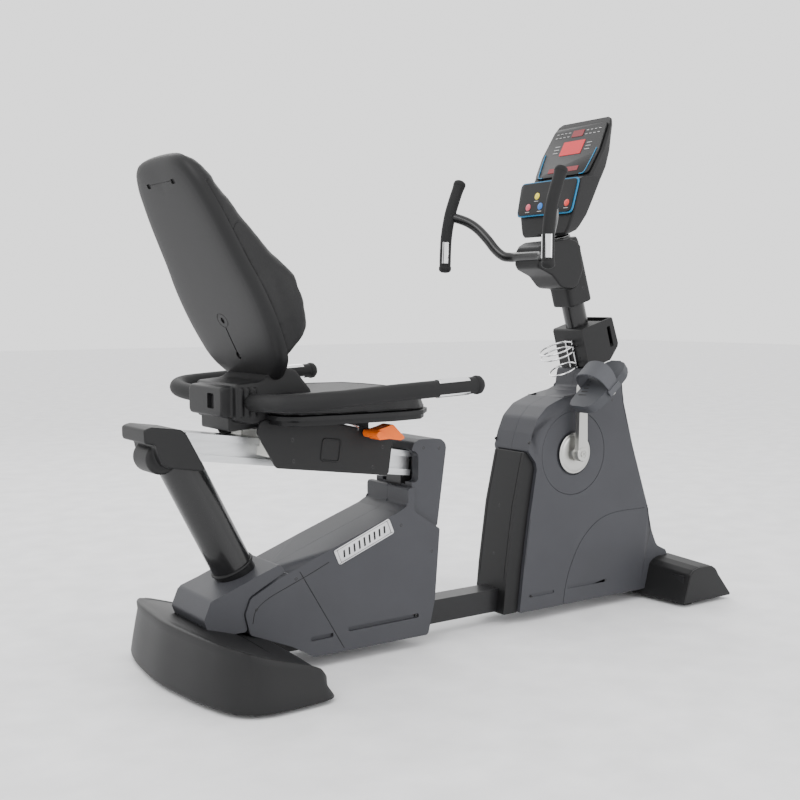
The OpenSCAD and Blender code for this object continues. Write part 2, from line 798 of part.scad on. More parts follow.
main_beam();
foot_tubes();
rear_foot_cover();
front_foot_cover();
levelling_feet();
front_mast();
drive_bracket();
drive_belt();
front_shell_right();
front_shell_left();
hub_plates();
column_cover();
rear_shell_right();
rear_shell_left();
rear_cap_shell();
rear_saddle();
badge_plate();
rear_post();
rail_end_cap();
seat_rail();
holder_box();
bottle_cage();
mast_cover();
handlebar();
handle_grips();
handle_plates();
console_back();
console_front();
screen_windows();
console_trim();
keypad_panel();
crank_axle();
drive_pulley();
crank_arm_right();
crank_arm_left();
crank_disc_right();
crank_disc_left();
pedal_right();
pedal_left();
pedal_strap_right();
pedal_strap_left();
flywheel();
seat_carriage();
slide_pads();
carriage_cover();
armrest_tube();
armrest_plates();
seat_pan();
seat_cushion();
back_frame();
back_shell();
back_cushion();
seat_lever();
clamp_shoe();
key_1();
key_2();
key_3();
key_4();
key_5();
key_6();
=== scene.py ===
"""Looks of the recumbent exercise bike. Outlines are in millimetres in the side plane, and become metres."""
import math
import random

import bpy
import bmesh
from mathutils import Matrix, Vector
from mathutils.bvhtree import BVHTree


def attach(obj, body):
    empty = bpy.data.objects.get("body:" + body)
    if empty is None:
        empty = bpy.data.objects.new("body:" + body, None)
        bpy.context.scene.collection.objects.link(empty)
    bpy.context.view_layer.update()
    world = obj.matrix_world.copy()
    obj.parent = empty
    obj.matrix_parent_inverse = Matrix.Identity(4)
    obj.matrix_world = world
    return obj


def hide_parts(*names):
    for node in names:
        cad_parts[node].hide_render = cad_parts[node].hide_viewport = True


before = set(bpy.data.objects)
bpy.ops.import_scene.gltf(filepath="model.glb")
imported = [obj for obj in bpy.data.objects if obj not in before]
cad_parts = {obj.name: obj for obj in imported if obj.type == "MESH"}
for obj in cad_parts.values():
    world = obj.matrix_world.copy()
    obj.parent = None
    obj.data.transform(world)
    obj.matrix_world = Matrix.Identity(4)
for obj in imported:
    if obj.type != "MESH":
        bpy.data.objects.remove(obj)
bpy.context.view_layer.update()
MM = 0.001
random.seed(7)


# ---------------------------------------------------------------- camera, light, floor
def make_camera():
    data = bpy.data.cameras.new("camera")
    data.lens, data.sensor_width = 51.65, 36
    data.shift_x, data.shift_y = -0.0294, 0.028
    camera = bpy.data.objects.new("camera", data)
    bpy.context.scene.collection.objects.link(camera)
    camera.location = (-1.688, -2.254, 0.799)
    yaw, pitch = math.radians(54.56), math.radians(5.66)
    look = Vector((math.cos(yaw) * math.cos(pitch), math.sin(yaw) * math.cos(pitch), -math.sin(pitch)))
    camera.rotation_euler = look.to_track_quat("-Z", "Y").to_euler()
    bpy.context.scene.camera = camera


def area(name, where, target, size, power):
    data = bpy.data.lights.new(name, "AREA")
    data.shape, data.size, data.energy = "DISK", size, power
    light = bpy.data.objects.new(name, data)
    bpy.context.scene.collection.objects.link(light)
    light.location = where
    light.rotation_euler = (Vector(target) - Vector(where)).to_track_quat("-Z", "Y").to_euler()


def studio():
    world = bpy.data.worlds.new("studio")
    bpy.context.scene.world = world
    world.use_nodes = True
    back = world.node_tree.nodes["Background"]
    back.inputs["Color"].default_value = (1, 1, 1, 1)
    back.inputs["Strength"].default_value = 1.7
    area("key", (-2.6, -1.6, 3.4), (0, 0, 0.5), 2.2, 55)
    area("side", (1.2, -3.6, 1.6), (0.2, 0, 0.5), 1.6, 26)
    area("back", (0.5, 3.0, 3.2), (0, 0, 0.5), 2.6, 40)
    bpy.ops.mesh.primitive_plane_add(size=40)
    floor = bpy.context.object
    floor.name = "floor"
    floor.location = (0, 0, -0.0005)
    floor.data.materials.append(material("floor_white", (0.86, 0.86, 0.87), 0.6))


# ---------------------------------------------------------------- materials
MATERIALS = {}


def material(name, colour, rough, metal=0.0, grain=None, bump=0.0, spread=0.0, streak=None, coat=0.0,
             vary=0.06, cells=False, painted_glow=0.0):
    """A surface with uneven colour and roughness, and a grain at its own scale, in cycles a metre. A
    painted_glow above zero adds emission in the surface's colour, a painted glow.
    """
    if name in MATERIALS:
        return MATERIALS[name]
    made = bpy.data.materials.new(name)
    MATERIALS[name] = made
    made.use_nodes = True
    tree = made.node_tree
    shader = tree.nodes["Principled BSDF"]
    shader.inputs["Metallic"].default_value = metal
    shader.inputs["Specular IOR Level"].default_value = 0.5 if metal else 0.3
    shader.inputs["Coat Weight"].default_value = coat
    shader.inputs["Coat Roughness"].default_value = 0.08
    where = tree.nodes.new("ShaderNodeTexCoord").outputs["Object"]
    if streak:
        stretch = tree.nodes.new("ShaderNodeMapping")
        stretch.inputs["Scale"].default_value = streak
        tree.links.new(where, stretch.inputs["Vector"])
        where = stretch.outputs["Vector"]
    wide = tree.nodes.new("ShaderNodeTexNoise")
    wide.inputs["Scale"].default_value = 9
    wide.inputs["Detail"].default_value = 6
    tree.links.new(where, wide.inputs["Vector"])
    ramp = tree.nodes.new("ShaderNodeValToRGB")
    ramp.color_ramp.elements[0].position, ramp.color_ramp.elements[1].position = 0.3, 0.7
    ramp.color_ramp.elements[0].color = [c * (1 - vary) for c in colour] + [1]
    ramp.color_ramp.elements[1].color = [min(1, c * (1 + vary)) for c in colour] + [1]
    tree.links.new(wide.outputs["Fac"], ramp.inputs["Fac"])
    tree.links.new(ramp.outputs["Color"], shader.inputs["Base Color"])
    # painted light: the emission makes a part glow in its own colour though it holds no lamp
    if painted_glow:
        shader.inputs["Emission Color"].default_value = (*colour, 1)
        shader.inputs["Emission Strength"].default_value = painted_glow
    if grain:
        fine = tree.nodes.new("ShaderNodeTexVoronoi" if cells else "ShaderNodeTexNoise")
        fine.inputs["Scale"].default_value = grain
        tree.links.new(where, fine.inputs["Vector"])
        level = fine.outputs["Distance" if cells else "Fac"]
        wave = tree.nodes.new("ShaderNodeMapRange")
        wave.inputs["To Min"].default_value = max(0.02, rough - spread)
        wave.inputs["To Max"].default_value = min(1, rough + spread)
        tree.links.new(level, wave.inputs["Value"])
        tree.links.new(wave.outputs["Result"], shader.inputs["Roughness"])
        relief = tree.nodes.new("ShaderNodeBump")
        relief.inputs["Strength"].default_value = bump
        relief.inputs["Distance"].default_value = 0.0006
        tree.links.new(level, relief.inputs["Height"])
        tree.links.new(relief.outputs["Normal"], shader.inputs["Normal"])
    else:
        shader.inputs["Roughness"].default_value = rough
    return made


def grey_plastic():
    return material("grey_plastic", (0.042, 0.043, 0.049), 0.5, grain=900, bump=0.12, spread=0.07)


def black_plastic():
    return material("black_plastic", (0.0075, 0.0075, 0.008), 0.5, grain=1100, bump=0.15, spread=0.08)


def black_paint():
    return material("black_paint", (0.006, 0.006, 0.0065), 0.3, grain=500, bump=0.06, spread=0.06,
                    coat=0.35)


def frame_paint():
    return material("frame_paint", (0.012, 0.012, 0.013), 0.42, grain=420, bump=0.1, spread=0.07, coat=0.1)


def foam():
    return material("foam", (0.008, 0.008, 0.0085), 0.68, grain=1500, bump=0.35, spread=0.1)


def vinyl():
    return material("vinyl", (0.0075, 0.0075, 0.008), 0.5, grain=520, bump=0.4, spread=0.1, cells=True)


def alloy():
    return material("alloy", (0.6, 0.61, 0.62), 0.34, 1.0, grain=60, bump=0.05, spread=0.1,
                    streak=(1, 14, 14))


def cast_silver():
    return material("cast_silver", (0.5, 0.5, 0.48), 0.36, 1.0, grain=700, bump=0.1, spread=0.08)


def chrome():
    return material("chrome", (0.78, 0.78, 0.79), 0.13, 1.0, grain=90, bump=0.02, spread=0.05)


def steel():
    return material("steel", (0.42, 0.42, 0.43), 0.38, 1.0, grain=160, bump=0.06, spread=0.1)


def rubber():
    return material("rubber", (0.018, 0.018, 0.018), 0.72, grain=700, bump=0.25, spread=0.1)


def pedal_grey():
    return material("pedal_grey", (0.045, 0.047, 0.053), 0.55, grain=800, bump=0.2, spread=0.08)


def strap_grey():
    return material("strap_grey", (0.07, 0.072, 0.08), 0.6, grain=600, bump=0.25, spread=0.08)


def orange():
    return material("orange", (0.93, 0.155, 0.008), 0.42, grain=900, bump=0.1, spread=0.06)


def gloss_black():
    return material("gloss_black", (0.004, 0.004, 0.0045), 0.42, grain=200, bump=0.01, spread=0.04)


def shell_black():
    return material("shell_black", (0.007, 0.007, 0.0075), 0.48, grain=1000, bump=0.12, spread=0.07)


def blue():
    return material("blue", (0.012, 0.17, 0.34), 0.35, grain=400, bump=0.03, spread=0.05)


def red_glass():
    # painted glow: the emission brightens the main red window, which holds no lamp
    return material("red_glass", (0.5, 0.02, 0.028), 0.5, grain=500, bump=0.02, spread=0.04, painted_glow=0.35)


def dull_red():
    # painted glow: a dimmer emission on the small red windows, which hold no lamp
    return material("dull_red", (0.2, 0.02, 0.026), 0.5, grain=500, bump=0.02, spread=0.04, painted_glow=0.12)


def pale_print():
    return material("pale_print", (0.5, 0.5, 0.5), 0.5, grain=500, bump=0.02, spread=0.04)


def white_nylon():
    return material("white_nylon", (0.68, 0.68, 0.64), 0.5, grain=500, bump=0.1, spread=0.05)


def copper():
    return material("copper", (0.5, 0.22, 0.09), 0.4, 1.0, grain=300, bump=0.2, spread=0.1)


def badge_metal():
    return material("badge_metal", (0.62, 0.62, 0.63), 0.35, 1.0, grain=90, bump=0.04, spread=0.08,
                    streak=(1, 1, 20))


# ---------------------------------------------------------------- mesh helpers
def round_corners(points, steps=5):
    """Corners (x, z, radius) become arcs; a radius too large for its sides is cut down."""
    out = []
    count = len(points)
    for i, here in enumerate(points):
        p = Vector(here[:2])
        r = here[2] if len(here) > 2 else 0
        a, b = Vector(points[i - 1][:2]) - p, Vector(points[(i + 1) % count][:2]) - p
        if r <= 0 or a.length < 1e-6 or b.length < 1e-6:
            out.append(tuple(p))
            continue
        angle = a.angle(b)
        reach = min(max(0.8, r / math.tan(angle / 2)), a.length * 0.48, b.length * 0.48)
        start, end = p + a.normalized() * reach, p + b.normalized() * reach
        for k in range(steps + 1):
            t = k / steps
            out.append(tuple(start * (1 - t) ** 2 + p * 2 * t * (1 - t) + end * t * t))
    return out


def place(name, bm, look, body=None, nodes=(), smooth=40, at=None):
    mesh = bpy.data.meshes.new(name)
    bmesh.ops.recalc_face_normals(bm, faces=bm.faces)
    bm.to_mesh(mesh)
    bm.free()
    if at is not None:
        mesh.transform(at)
    mesh.shade_smooth()
    mesh.set_sharp_from_angle(angle=math.radians(smooth))
    piece = bpy.data.objects.new(name, mesh)
    bpy.context.scene.collection.objects.link(piece)
    mesh.materials.append(look)
    if body:
        finish_piece(piece, body, nodes)
    return piece


def finish_piece(piece, body, nodes=()):
    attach(piece, body)
    if nodes:
        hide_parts(*nodes)
    return piece


def even_normals(piece):
    piece.modifiers.new("normals", "WEIGHTED_NORMAL").keep_sharp = True


def prism(outline, y0, y1, bevel=0.0, segments=4, open_side=None, plane="xz"):
    """A side outline made solid between two Y values, its rims rounded."""
    bm = bmesh.new()

    def spot(p, y):
        if plane == "xz":
            return (p[0] * MM, y * MM, p[1] * MM)
        if plane == "yz":
            return (y * MM, p[0] * MM, p[1] * MM)
        return (p[0] * MM, p[1] * MM, y * MM)

    near = [bm.verts.new(spot(p, y0)) for p in outline]
    far = [bm.verts.new(spot(p, y1)) for p in outline]
    caps = []
    if open_side != "near":
        caps.append(bm.faces.new(near))
    if open_side != "far":
        caps.append(bm.faces.new(far))
    for i in range(len(outline)):
        j = (i + 1) % len(outline)
        bm.faces.new((near[i], near[j], far[j], far[i]))
    if bevel:
        rims = {e for f in caps for e in f.edges}
        bmesh.ops.bevel(bm, geom=list(rims), offset=bevel * MM, segments=segments, profile=0.5,
                        affect="EDGES", clamp_overlap=True)
    return bm


def merge(*parts):
    """Several bmeshes in one."""
    out = bmesh.new()
    for bm in parts:
        mesh = bpy.data.meshes.new("part")
        bm.to_mesh(mesh)
        bm.free()
        out.from_mesh(mesh)
        bpy.data.meshes.remove(mesh)
    return out


def lathe(profile, at, axis, steps=64):
    """Profile points (radius, height) in mm, turned about an axis through a point."""
    bm = bmesh.new()
    turn = Vector(axis).normalized().to_track_quat("Z", "Y").to_matrix().to_4x4()
    base = Matrix.Translation(Vector(at) * MM) @ turn
    rings = []
    for r, h in profile:
        if r < 1e-6:
            rings.append([bm.verts.new(base @ Vector((0, 0, h * MM)))])
        else:
            rings.append([bm.verts.new(base @ Vector((r * MM * math.cos(2 * math.pi * k / steps),
                          r * MM * math.sin(2 * math.pi * k / steps), h * MM))) for k in range(steps)])
    for a, b in zip(rings, rings[1:]):
        for k in range(steps):
            j = (k + 1) % steps
            if len(a) == 1 and len(b) > 1:
                bm.faces.new((a[0], b[k], b[j]))
            elif len(b) == 1 and len(a) > 1:
                bm.faces.new((a[k], a[j], b[0]))
            elif len(a) > 1:
                bm.faces.new((a[k], a[j], b[j], b[k]))
    return bm


def spline(points, steps=8, closed=False):
    """A smooth curve through the points."""
    pts = [Vector(p) for p in points]
    count = len(pts)
    out = []
    for i in range(count if closed else count - 1):
        p0 = pts[i - 1] if closed or i else pts[0] * 2 - pts[1]
        p1, p2 = pts[i], pts[(i + 1) % count]
        p3 = pts[(i + 2) % count] if closed or i + 2 < count else p2 * 2 - p1
        for k in range(steps):
            t = k / steps
            out.append(0.5 * ((2 * p1) + (p2 - p0) * t + (2 * p0 - 5 * p1 + 4 * p2 - p3) * t * t
                              + (3 * p1 - p0 - 3 * p2 + p3) * t ** 3))
    if not closed:
        out.append(pts[-1])
    return out


def sweep(path, radius, steps=20, closed=False, section=None, ends=True):
    """A tube along a path in mm. radius is a number or a function of the share of the way."""
    bm = bmesh.new()
    pts = [Vector(p) * MM for p in path]
    count = len(pts)
    tangent = (pts[1] - pts[0]).normalized()
    side = tangent.orthogonal().normalized()
    rings = []
    for i, p in enumerate(pts):
        ahead = pts[(i + 1) % count] if closed or i + 1 < count else p
        behind = pts[i - 1] if closed or i else p
        now = (ahead - behind).normalized()
        side = (tangent.rotation_difference(now) @ side).normalized()
        tangent = now
        other = tangent.cross(side)
        r = (radius(i / (count - 1)) if callable(radius) else radius) * MM
        ring = []
        for k in range(steps):
            a = 2 * math.pi * k / steps
            ring.append(bm.verts.new(p + (side * math.cos(a) + other * math.sin(a)) * r))
        rings.append(ring)
    pairs = list(zip(rings, rings[1:])) + ([(rings[-1], rings[0])] if closed else [])
    for a, b in pairs:
        shift = 0
        if closed and a is rings[-1]:
            shift = min(range(steps), key=lambda s: (a[0].co - b[s].co).length)
        for k in range(steps):
            bm.faces.new((a[k], a[(k + 1) % steps], b[(k + 1 + shift) % steps], b[(k + shift) % steps]))
    if not closed and ends:
        bm.faces.new(rings[0])
        bm.faces.new(rings[-1])
    return bm


def carve(piece, *cutters):
    """Cuts each cutter bmesh out of the piece."""
    for bm in cutters:
        bmesh.ops.recalc_face_normals(bm, faces=bm.faces)
        mesh = bpy.data.meshes.new("cut")
        bm.to_mesh(mesh)
        bm.free()
        tool = bpy.data.objects.new("cut", mesh)
        bpy.context.scene.collection.objects.link(tool)
        cut = piece.modifiers.new("cut", "BOOLEAN")
        cut.object, cut.operation, cut.solver = tool, "DIFFERENCE", "EXACT"
        apply_all(piece)
        bpy.data.objects.remove(tool)
    piece.data.shade_smooth()
    piece.data.set_sharp_from_angle(angle=math.radians(40))


def apply_all(piece):
    bpy.context.view_layer.update()
    deps = bpy.context.evaluated_depsgraph_get()
    mesh = bpy.data.meshes.new_from_object(piece.evaluated_get(deps))
    piece.modifiers.clear()
    old = piece.data
    piece.data = mesh
    bpy.data.meshes.remove(old)


def line_cut(points, y0, y1, width=1.6):
    """A thin cutter that follows a line in the side plane."""
    pts = [Vector(p) for p in points]
    left, right = [], []
    for i, p in enumerate(pts):
        d = (pts[min(i + 1, len(pts) - 1)] - pts[max(i - 1, 0)]).normalized()
        n = Vector((-d.y, d.x)) * width / 2
        left.append(tuple(p + n))
        right.append(tuple(p - n))
    bm = prism(left + right[::-1], y0, y1)
    bmesh.ops.recalc_face_normals(bm, faces=bm.faces)
    return bm


def skin(bm, rows, caps=True):
    """Rings of equally many points become one surface, closed by a cap at each end."""
    for a, b in zip(rows, rows[1:]):
        for k in range(len(a)):
            j = (k + 1) % len(a)
            bm.faces.new((a[k], a[j], b[j], b[k]))
    if caps:
        bm.faces.new(rows[0])
        bm.faces.new(rows[-1])


def melt(piece, voxel=2.5, passes=12):
    """Joined solids become one moulded form with soft inner corners."""
    remesh = piece.modifiers.new("melt", "REMESH")
    remesh.mode, remesh.voxel_size = "VOXEL", voxel * MM
    soft = piece.modifiers.new("soft", "SMOOTH")
    soft.factor, soft.iterations = 0.5, passes
    apply_all(piece)
    piece.data.shade_smooth()


SCREWS = {}


def screw(body, at, normal, r=4.2):
    """A pan head with a hexagon socket, in a shallow recess ring."""
    head = lathe([(0, -0.2), (r * 0.5, -0.2), (r * 0.5, 1.0), (r * 0.62, 1.2), (r * 0.92, 0.8), (r, 0.1),
                  (r, -1.5), (0, -1.5)], at, normal, 24)
    SCREWS.setdefault(body, []).append(head)


def flush_screws():
    for body, heads in SCREWS.items():
        place("screws_" + body, merge(*heads), black_paint(), body)


LEAN = math.atan(0.30)
SLOPE = math.radians(8)
BACK = math.radians(25.6)


def mast_x(z):
    return 416 - 0.30 * (z - 756)


def mast_space(z):
    """Local z climbs the mast, local x points to the front."""
    return Matrix.Translation(Vector((mast_x(z), 0, z)) * MM) @ Matrix.Rotation(-LEAN, 4, "Y")


def rail_space():
    return Matrix.Translation(Vector((-217, 0, 474)) * MM) @ Matrix.Rotation(SLOPE, 4, "Y")


def back_space():
    return Matrix.Translation(Vector((-643, 0, 900)) * MM) @ Matrix.Rotation(-BACK, 4, "Y")


def face_space():
    return Matrix.Translation(Vector((348.5, 0, 1130)) * MM) @ Matrix.Rotation(math.radians(28.3), 4, "Y")


def pad_space():
    return Matrix.Translation(Vector((296.5, 0, 1037)) * MM) @ Matrix.Rotation(math.radians(13.5), 4, "Y")


# ---------------------------------------------------------------- front housing
FRONT = [(168, 28, 4), (182, 148), (199, 266), (221, 392, 16), (217, 410, 18), (191, 441, 8),
         (204, 484, 30),
         (221, 522, 40), (254, 552, 40), (306, 571, 60), (377, 584, 30), (402, 594, 12), (410, 642, 8),
         (505, 645, 14), (517, 600, 12), (524, 556, 30), (562, 432), (624, 261, 90), (642, 190, 60),
         (663, 145, 30), (702, 127, 6), (706, 108, 6), (660, 100, 6), (632, 30, 3), (600, 28)]
CRANK = (347, 426)


def front_half(side):
    name = "right" if side < 0 else "left"
    edge, rim = 0.3 * side, 68 * side
    piece = place("front_shell_" + name, prism(round_corners(FRONT), edge, rim, 15, 6, open_side="near"),
                  grey_plastic())
    thick = piece.modifiers.new("thick", "SOLIDIFY")
    thick.thickness, thick.offset = 3 * MM, -1
    apply_all(piece)
    panel = [(315, 26), (328, 93), (355, 156), (390, 204), (443, 241), (498, 254), (560, 256), (612, 255)]
    inner, outer = rim - 1.4 * side, rim + 4 * side
    cuts = [line_cut(spline([(x, z) for x, z in panel], 5), inner, outer, 1.8)]
    for x0, x1, z in [(198, 284, 68), (332, 468, 72)]:
        slot = round_corners([(x0, z - 4, 4), (x1, z - 4, 4), (x1, z + 4, 4), (x0, z + 4, 4)])
        cuts.append(prism(slot, rim - 2.2 * side, outer))
    cuts.append(lathe([(0, -9), (109.5, -9), (109.5, 6), (0, 6)], (CRANK[0], rim, CRANK[1]),
                      (0, side, 0), 96))
    carve(piece, *cuts)
    even_normals(piece)
    finish_piece(piece, "frame", ["front_shell_" + name])
    for x, z in [(196, 462), (484, 558), (207, 65), (469, 73)]:
        screw("frame", (x, rim - 0.8 * side, z), (0, side, 0), 4)


def hub_plates():
    discs = []
    for side in (-1, 1):
        discs.append(lathe([(58, -3), (58, -0.6), (58.6, 0), (108, 0), (108.7, -0.7), (108.7, -3)],
                           (CRANK[0], 68 * side, CRANK[1]), (0, side, 0), 96))
        discs.append(lathe([(16, -6), (16, -4.2), (57, -4.2), (58.3, -3), (58.3, -6)],
                           (CRANK[0], 68 * side, CRANK[1]), (0, side, 0), 96))
    piece = place("hub_plates", merge(*discs), grey_plastic(), "frame", ["hub_plates"])
    even_normals(piece)


def column_cover():
    line = [(122, 28, 3), (134, 148), (156, 304), (187, 439, 8), (196, 434, 14), (215, 408, 14),
            (219, 391, 10),
            (197.5, 266), (180.5, 148), (166.5, 28, 2)]
    piece = place("column_cover", prism(round_corners(line), -58, 58, 9, 5), black_plastic())
    cuts = []
    for s in (-1, 1):
        cuts.append(line_cut([(110, 24), (129, 148), (151, 304), (182, 436)], s * 48.5 - 0.8,
                             s * 48.5 + 0.8, 14))
    carve(piece, *cuts)
    even_normals(piece)
    finish_piece(piece, "frame", ["column_cover"])
    for z in (175, 297):
        x = 134 + (z - 148) * 22 / 156
        screw("frame", (x + 0.6, 0, z), (-1, 0, 0.14), 4.6)


# ---------------------------------------------------------------- rear housing
SIDE = [(-600, 104, 6), (-611, 150, 20), (-598, 183, 20), (-558, 203, 30), (-508, 226, 60), (-383, 272),
        (-216, 331, 16), (-190, 345, 8), (-190, 384, 6), (-172, 384, 3), (-172, 328, 3), (-99, 280, 3),
        (-113, 110), (-133, 28, 6), (-443, 28, 30), (-500, 62, 30)]


def rear_half(side):
    name = "right" if side < 0 else "left"
    rim = 88 * side
    piece = place("rear_shell_" + name, prism(round_corners(SIDE), 0.3 * side, rim, 11, 5), grey_plastic())
    outer, deep = rim + 4 * side, rim - 6 * side
    cuts = []
    for x0, x1, z, rise in [(-355, -160, 77, 2), (-452, -394, 70, 1)]:
        slot = round_corners([(x0, z - 5, 5), (x1, z - 5 + rise, 5), (x1, z + 5 + rise, 5), (x0, z + 5, 5)])
        cuts.append(prism(slot, deep, outer))
    carve(piece, *cuts)
    even_normals(piece)
    finish_piece(piece, "frame", ["rear_shell_" + name])
    across = [(-478, rim, 226), (-430, rim, 145), (-366, rim, 36)]
    ridge = [(-404, 238), (-450, 219), (-500, 200), (-556, 178), (-586, 156), (-594, 128)]
    lines = [sweep(spline(across, 6), 0.9, 8), sweep(spline([(x, rim, z) for x, z in ridge], 6), 0.8, 8)]
    place("rear_seams_" + name, merge(*lines), black_plastic(), "frame", smooth=60)
    for x, z in [(-210, 300), (-488, 212), (-585, 158), (-122, 228), (-392, 70), (-166, 79)]:
        screw("frame", (x, rim - (0.8 if z > 90 else 2.6) * side, z), (0, side, 0), 4)


def rear_cap():
    line = [(-171, 329, 3), (-171, 470, 12), (-164, 488, 14), (-148, 495, 12), (-86, 492, 16),
            (-70, 478, 12),
            (-95, 300), (-98, 281.6, 4)]
    piece = place("rear_cap_shell", prism(round_corners(line), -75, 75, 9, 5), grey_plastic())
    mouth = prism(round_corners([(-200, 392, 2), (-110, 380, 2), (-110, 452, 20), (-200, 470, 2)]), -48, 48)
    arch = prism(round_corners([(-190, 398, 2), (-152, 392, 14), (-152, 466, 20), (-190, 474, 2)]), -90, 90)
    carve(piece, mouth, arch)
    even_normals(piece)
    finish_piece(piece, "frame", ["rear_cap_shell"])
    for side in (-1, 1):
        for x, z in [(-137, 474), (-92, 470)]:
            screw("frame", (x, 74.2 * side, z), (0, side, 0), 4)


def saddle():
    line = [(-690, 112, 6), (-705, 150, 14), (-688, 190, 16), (-640, 206, 40), (-577, 230, 30),
            (-524, 248, 10),
            (-512, 230, 4), (-560, 206, 20), (-599, 186, 20), (-613, 150, 14), (-604, 112, 4)]
    piece = place("rear_saddle", prism(round_corners(line), -84, 84, 20, 7), grey_plastic())
    even_normals(piece)
    finish_piece(piece, "frame", ["rear_saddle"])
    a, b = Vector((-718, 0, 474)), Vector((-500, 0, 46.5))
    d = (b - a).normalized()
    at = a + d * 262
    collar = lathe([(45.4, -4), (48, -4), (49.4, -1), (48.4, 2), (45.4, 3)], at, -d, 64)
    head = lathe([(0, -24), (45.1, -24), (45.1, 40), (0, 40)], (-718, 0, 474), -d, 64)
    place("post_head", head, black_paint(), "frame")
    place("post_collar", collar, black_plastic(), "frame")


def badge():
    corners = [(-393, 262, 5), (-245, 320, 5), (-230, 285, 5), (-378, 228, 5)]
    piece = place("badge_plate", prism(round_corners(corners), -89.8, -87.6, 0.7, 3), badge_metal())
    finish_piece(piece, "frame", ["badge_plate"])
    along = (Vector((-245, 320)) - Vector((-393, 262))).normalized()
    up = Vector((-along.y, along.x))
    middle = Vector((-311.5, 273.8))
    bars = []
    for i in range(-4, 5):
        c = middle + along * i * 14.5
        w, h = 3.4, 10 - abs(i) * 0.5
        bars.append(prism([tuple(c + along * a * w + up * b * h) for a, b in
                           ((-1.4, -1), (0, -1), (1.4, 1), (0, 1))], -90.3, -89.4, 0.2, 2))
    rim = [tuple(middle + along * a * 72 + up * b * 15.5) for a, b in ((-1, -1), (1, -1), (1, 1), (-1, 1))]
    frame_line = spline([(*p, 0) for p in round_corners([(*p, 4) for p in rim])], 2, True)
    bars.append(sweep([(p.x, -89.9, p.y) for p in frame_line], 0.5, 8, True))
    place("badge_bars", merge(*bars), black_plastic(), "frame")


def rail_end():
    line = [(-816, 528, 4), (-817, 556, 6), (-800, 561, 6), (-735, 552, 14), (-724, 541, 10),
            (-685, 468, 3),
            (-690, 462, 3), (-765, 474, 10), (-779, 482, 12), (-788, 502, 8), (-792, 524, 5)]
    body = prism(round_corners(line), -62, 62, 8, 5)
    plug = lathe([(0, -40), (30, -40), (34, -36), (34, 36), (30, 40), (0, 40)], (-770, 0, 492),
                 (0, 1, 0), 48)
    piece = place("rail_end_cap", merge(body, plug), black_plastic())
    melt(piece, 2.2, 6)
    finish_piece(piece, "frame", ["rail_end_cap"])


def boat_top(x, y):
    line = [(-780, 139), (-742, 141), (-712, 139), (-670, 127), (-615, 109), (-570, 95), (-540, 80),
            (-512, 46),
            (-500, 34)]
    for (x0, z0), (x1, z1) in zip(line, line[1:]):
        if x <= x1:
            z = z0 + (z1 - z0) * (x - x0) / (x1 - x0)
            break
    else:
        z = line[-1][1]
    return z - 10 * (y / 300) ** 2


def rear_foot():
    half = [(-505, 0), (-505, 150), (-505, 250), (-508, 280), (-524, 299), (-556, 306), (-610, 309),
            (-662, 308), (-703, 294),
            (-735, 256), (-758, 175), (-770, 88)]
    plan = half + [(-776, 0)] + [(x, -y) for x, y in half[:0:-1]]
    ring = spline([(x, y, 0) for x, y in plan], 6, True)
    count = len(ring)
    normals = []
    for i in range(count):
        d = ring[(i + 1) % count] - ring[i - 1]
        n = Vector((-d.y, d.x, 0)).normalized()
        normals.append(n if n.dot(Vector((-640, 0, 0)) - ring[i]) > 0 else -n)
    rows = []
    for inset, share in [(3, 0.0), (0.5, 0.02), (0, 0.06), (2, 0.3), (5, 0.6), (8, 0.86)]:
        rows.append([])
        for p, n in zip(ring, normals):
            end = max(0.0, min(1.0, (abs(p.y) - 215) / 80))
            rows[-1].append((p + n * (inset * (1.9 if p.x < -700 else 1) + end * share * 9)).xy.to_3d())
        rows[-1] = [Vector((q.x, q.y, 8 + share * (boat_top(p.x, p.y) - 8))) for q,
                    p in zip(rows[-1], ring)]
    for inset, drop in [(9, 2.5), (10.5, 0.6), (13, 0), (17, 1.0), (20, 2.6), (26, 3)]:
        row = []
        for p, n in zip(ring, normals):
            end = max(0.0, min(1.0, (abs(p.y) - 215) / 80))
            q = p + n * (inset * (1.5 if p.x < -700 else 1) + end * 8)
            row.append(Vector((q.x, q.y, max(10, boat_top(q.x, q.y) - drop))))
        rows.append(row)
    edge = rows[-1]
    for share in (0.2, 0.4, 0.6, 0.8, 0.97):
        row = []
        for p in edge:
            c = Vector((-625, max(-230, min(230, p.y)), 0))
            q = p.lerp(c, share)
            row.append(Vector((q.x, q.y, boat_top(q.x, q.y) - 3)))
        rows.append(row)
    bm = bmesh.new()
    made = [[bm.verts.new(v * MM) for v in row] for row in rows]
    skin(bm, made, caps=False)
    bmesh.ops.remove_doubles(bm, verts=bm.verts, dist=0.00002)
    bmesh.ops.holes_fill(bm, edges=bm.edges, sides=0)
    piece = place("rear_foot_cover", bm, black_plastic(), smooth=60)
    finish_piece(piece, "frame", ["rear_foot_cover"])


def front_profile(dx, dz, inset):
    pts = [(627 + dx, 10, 4), (650 + dx, 86 + dz, 10), (664 + dx, 97 + dz, 10), (687 + dx, 103 + dz, 10),
           (735 + dx, 102 + dz, 14), (752 + dx, 92 + dz, 16), (764 + dx, 74, 14), (815 + dx, 14, 3),
           (813 + dx, 10, 2)]
    out = round_corners(pts, 4)
    cx, cz = 706 + dx, 52
    return [(x + (cx - x) * inset, z + (cz - z) * inset) for x, z in out]


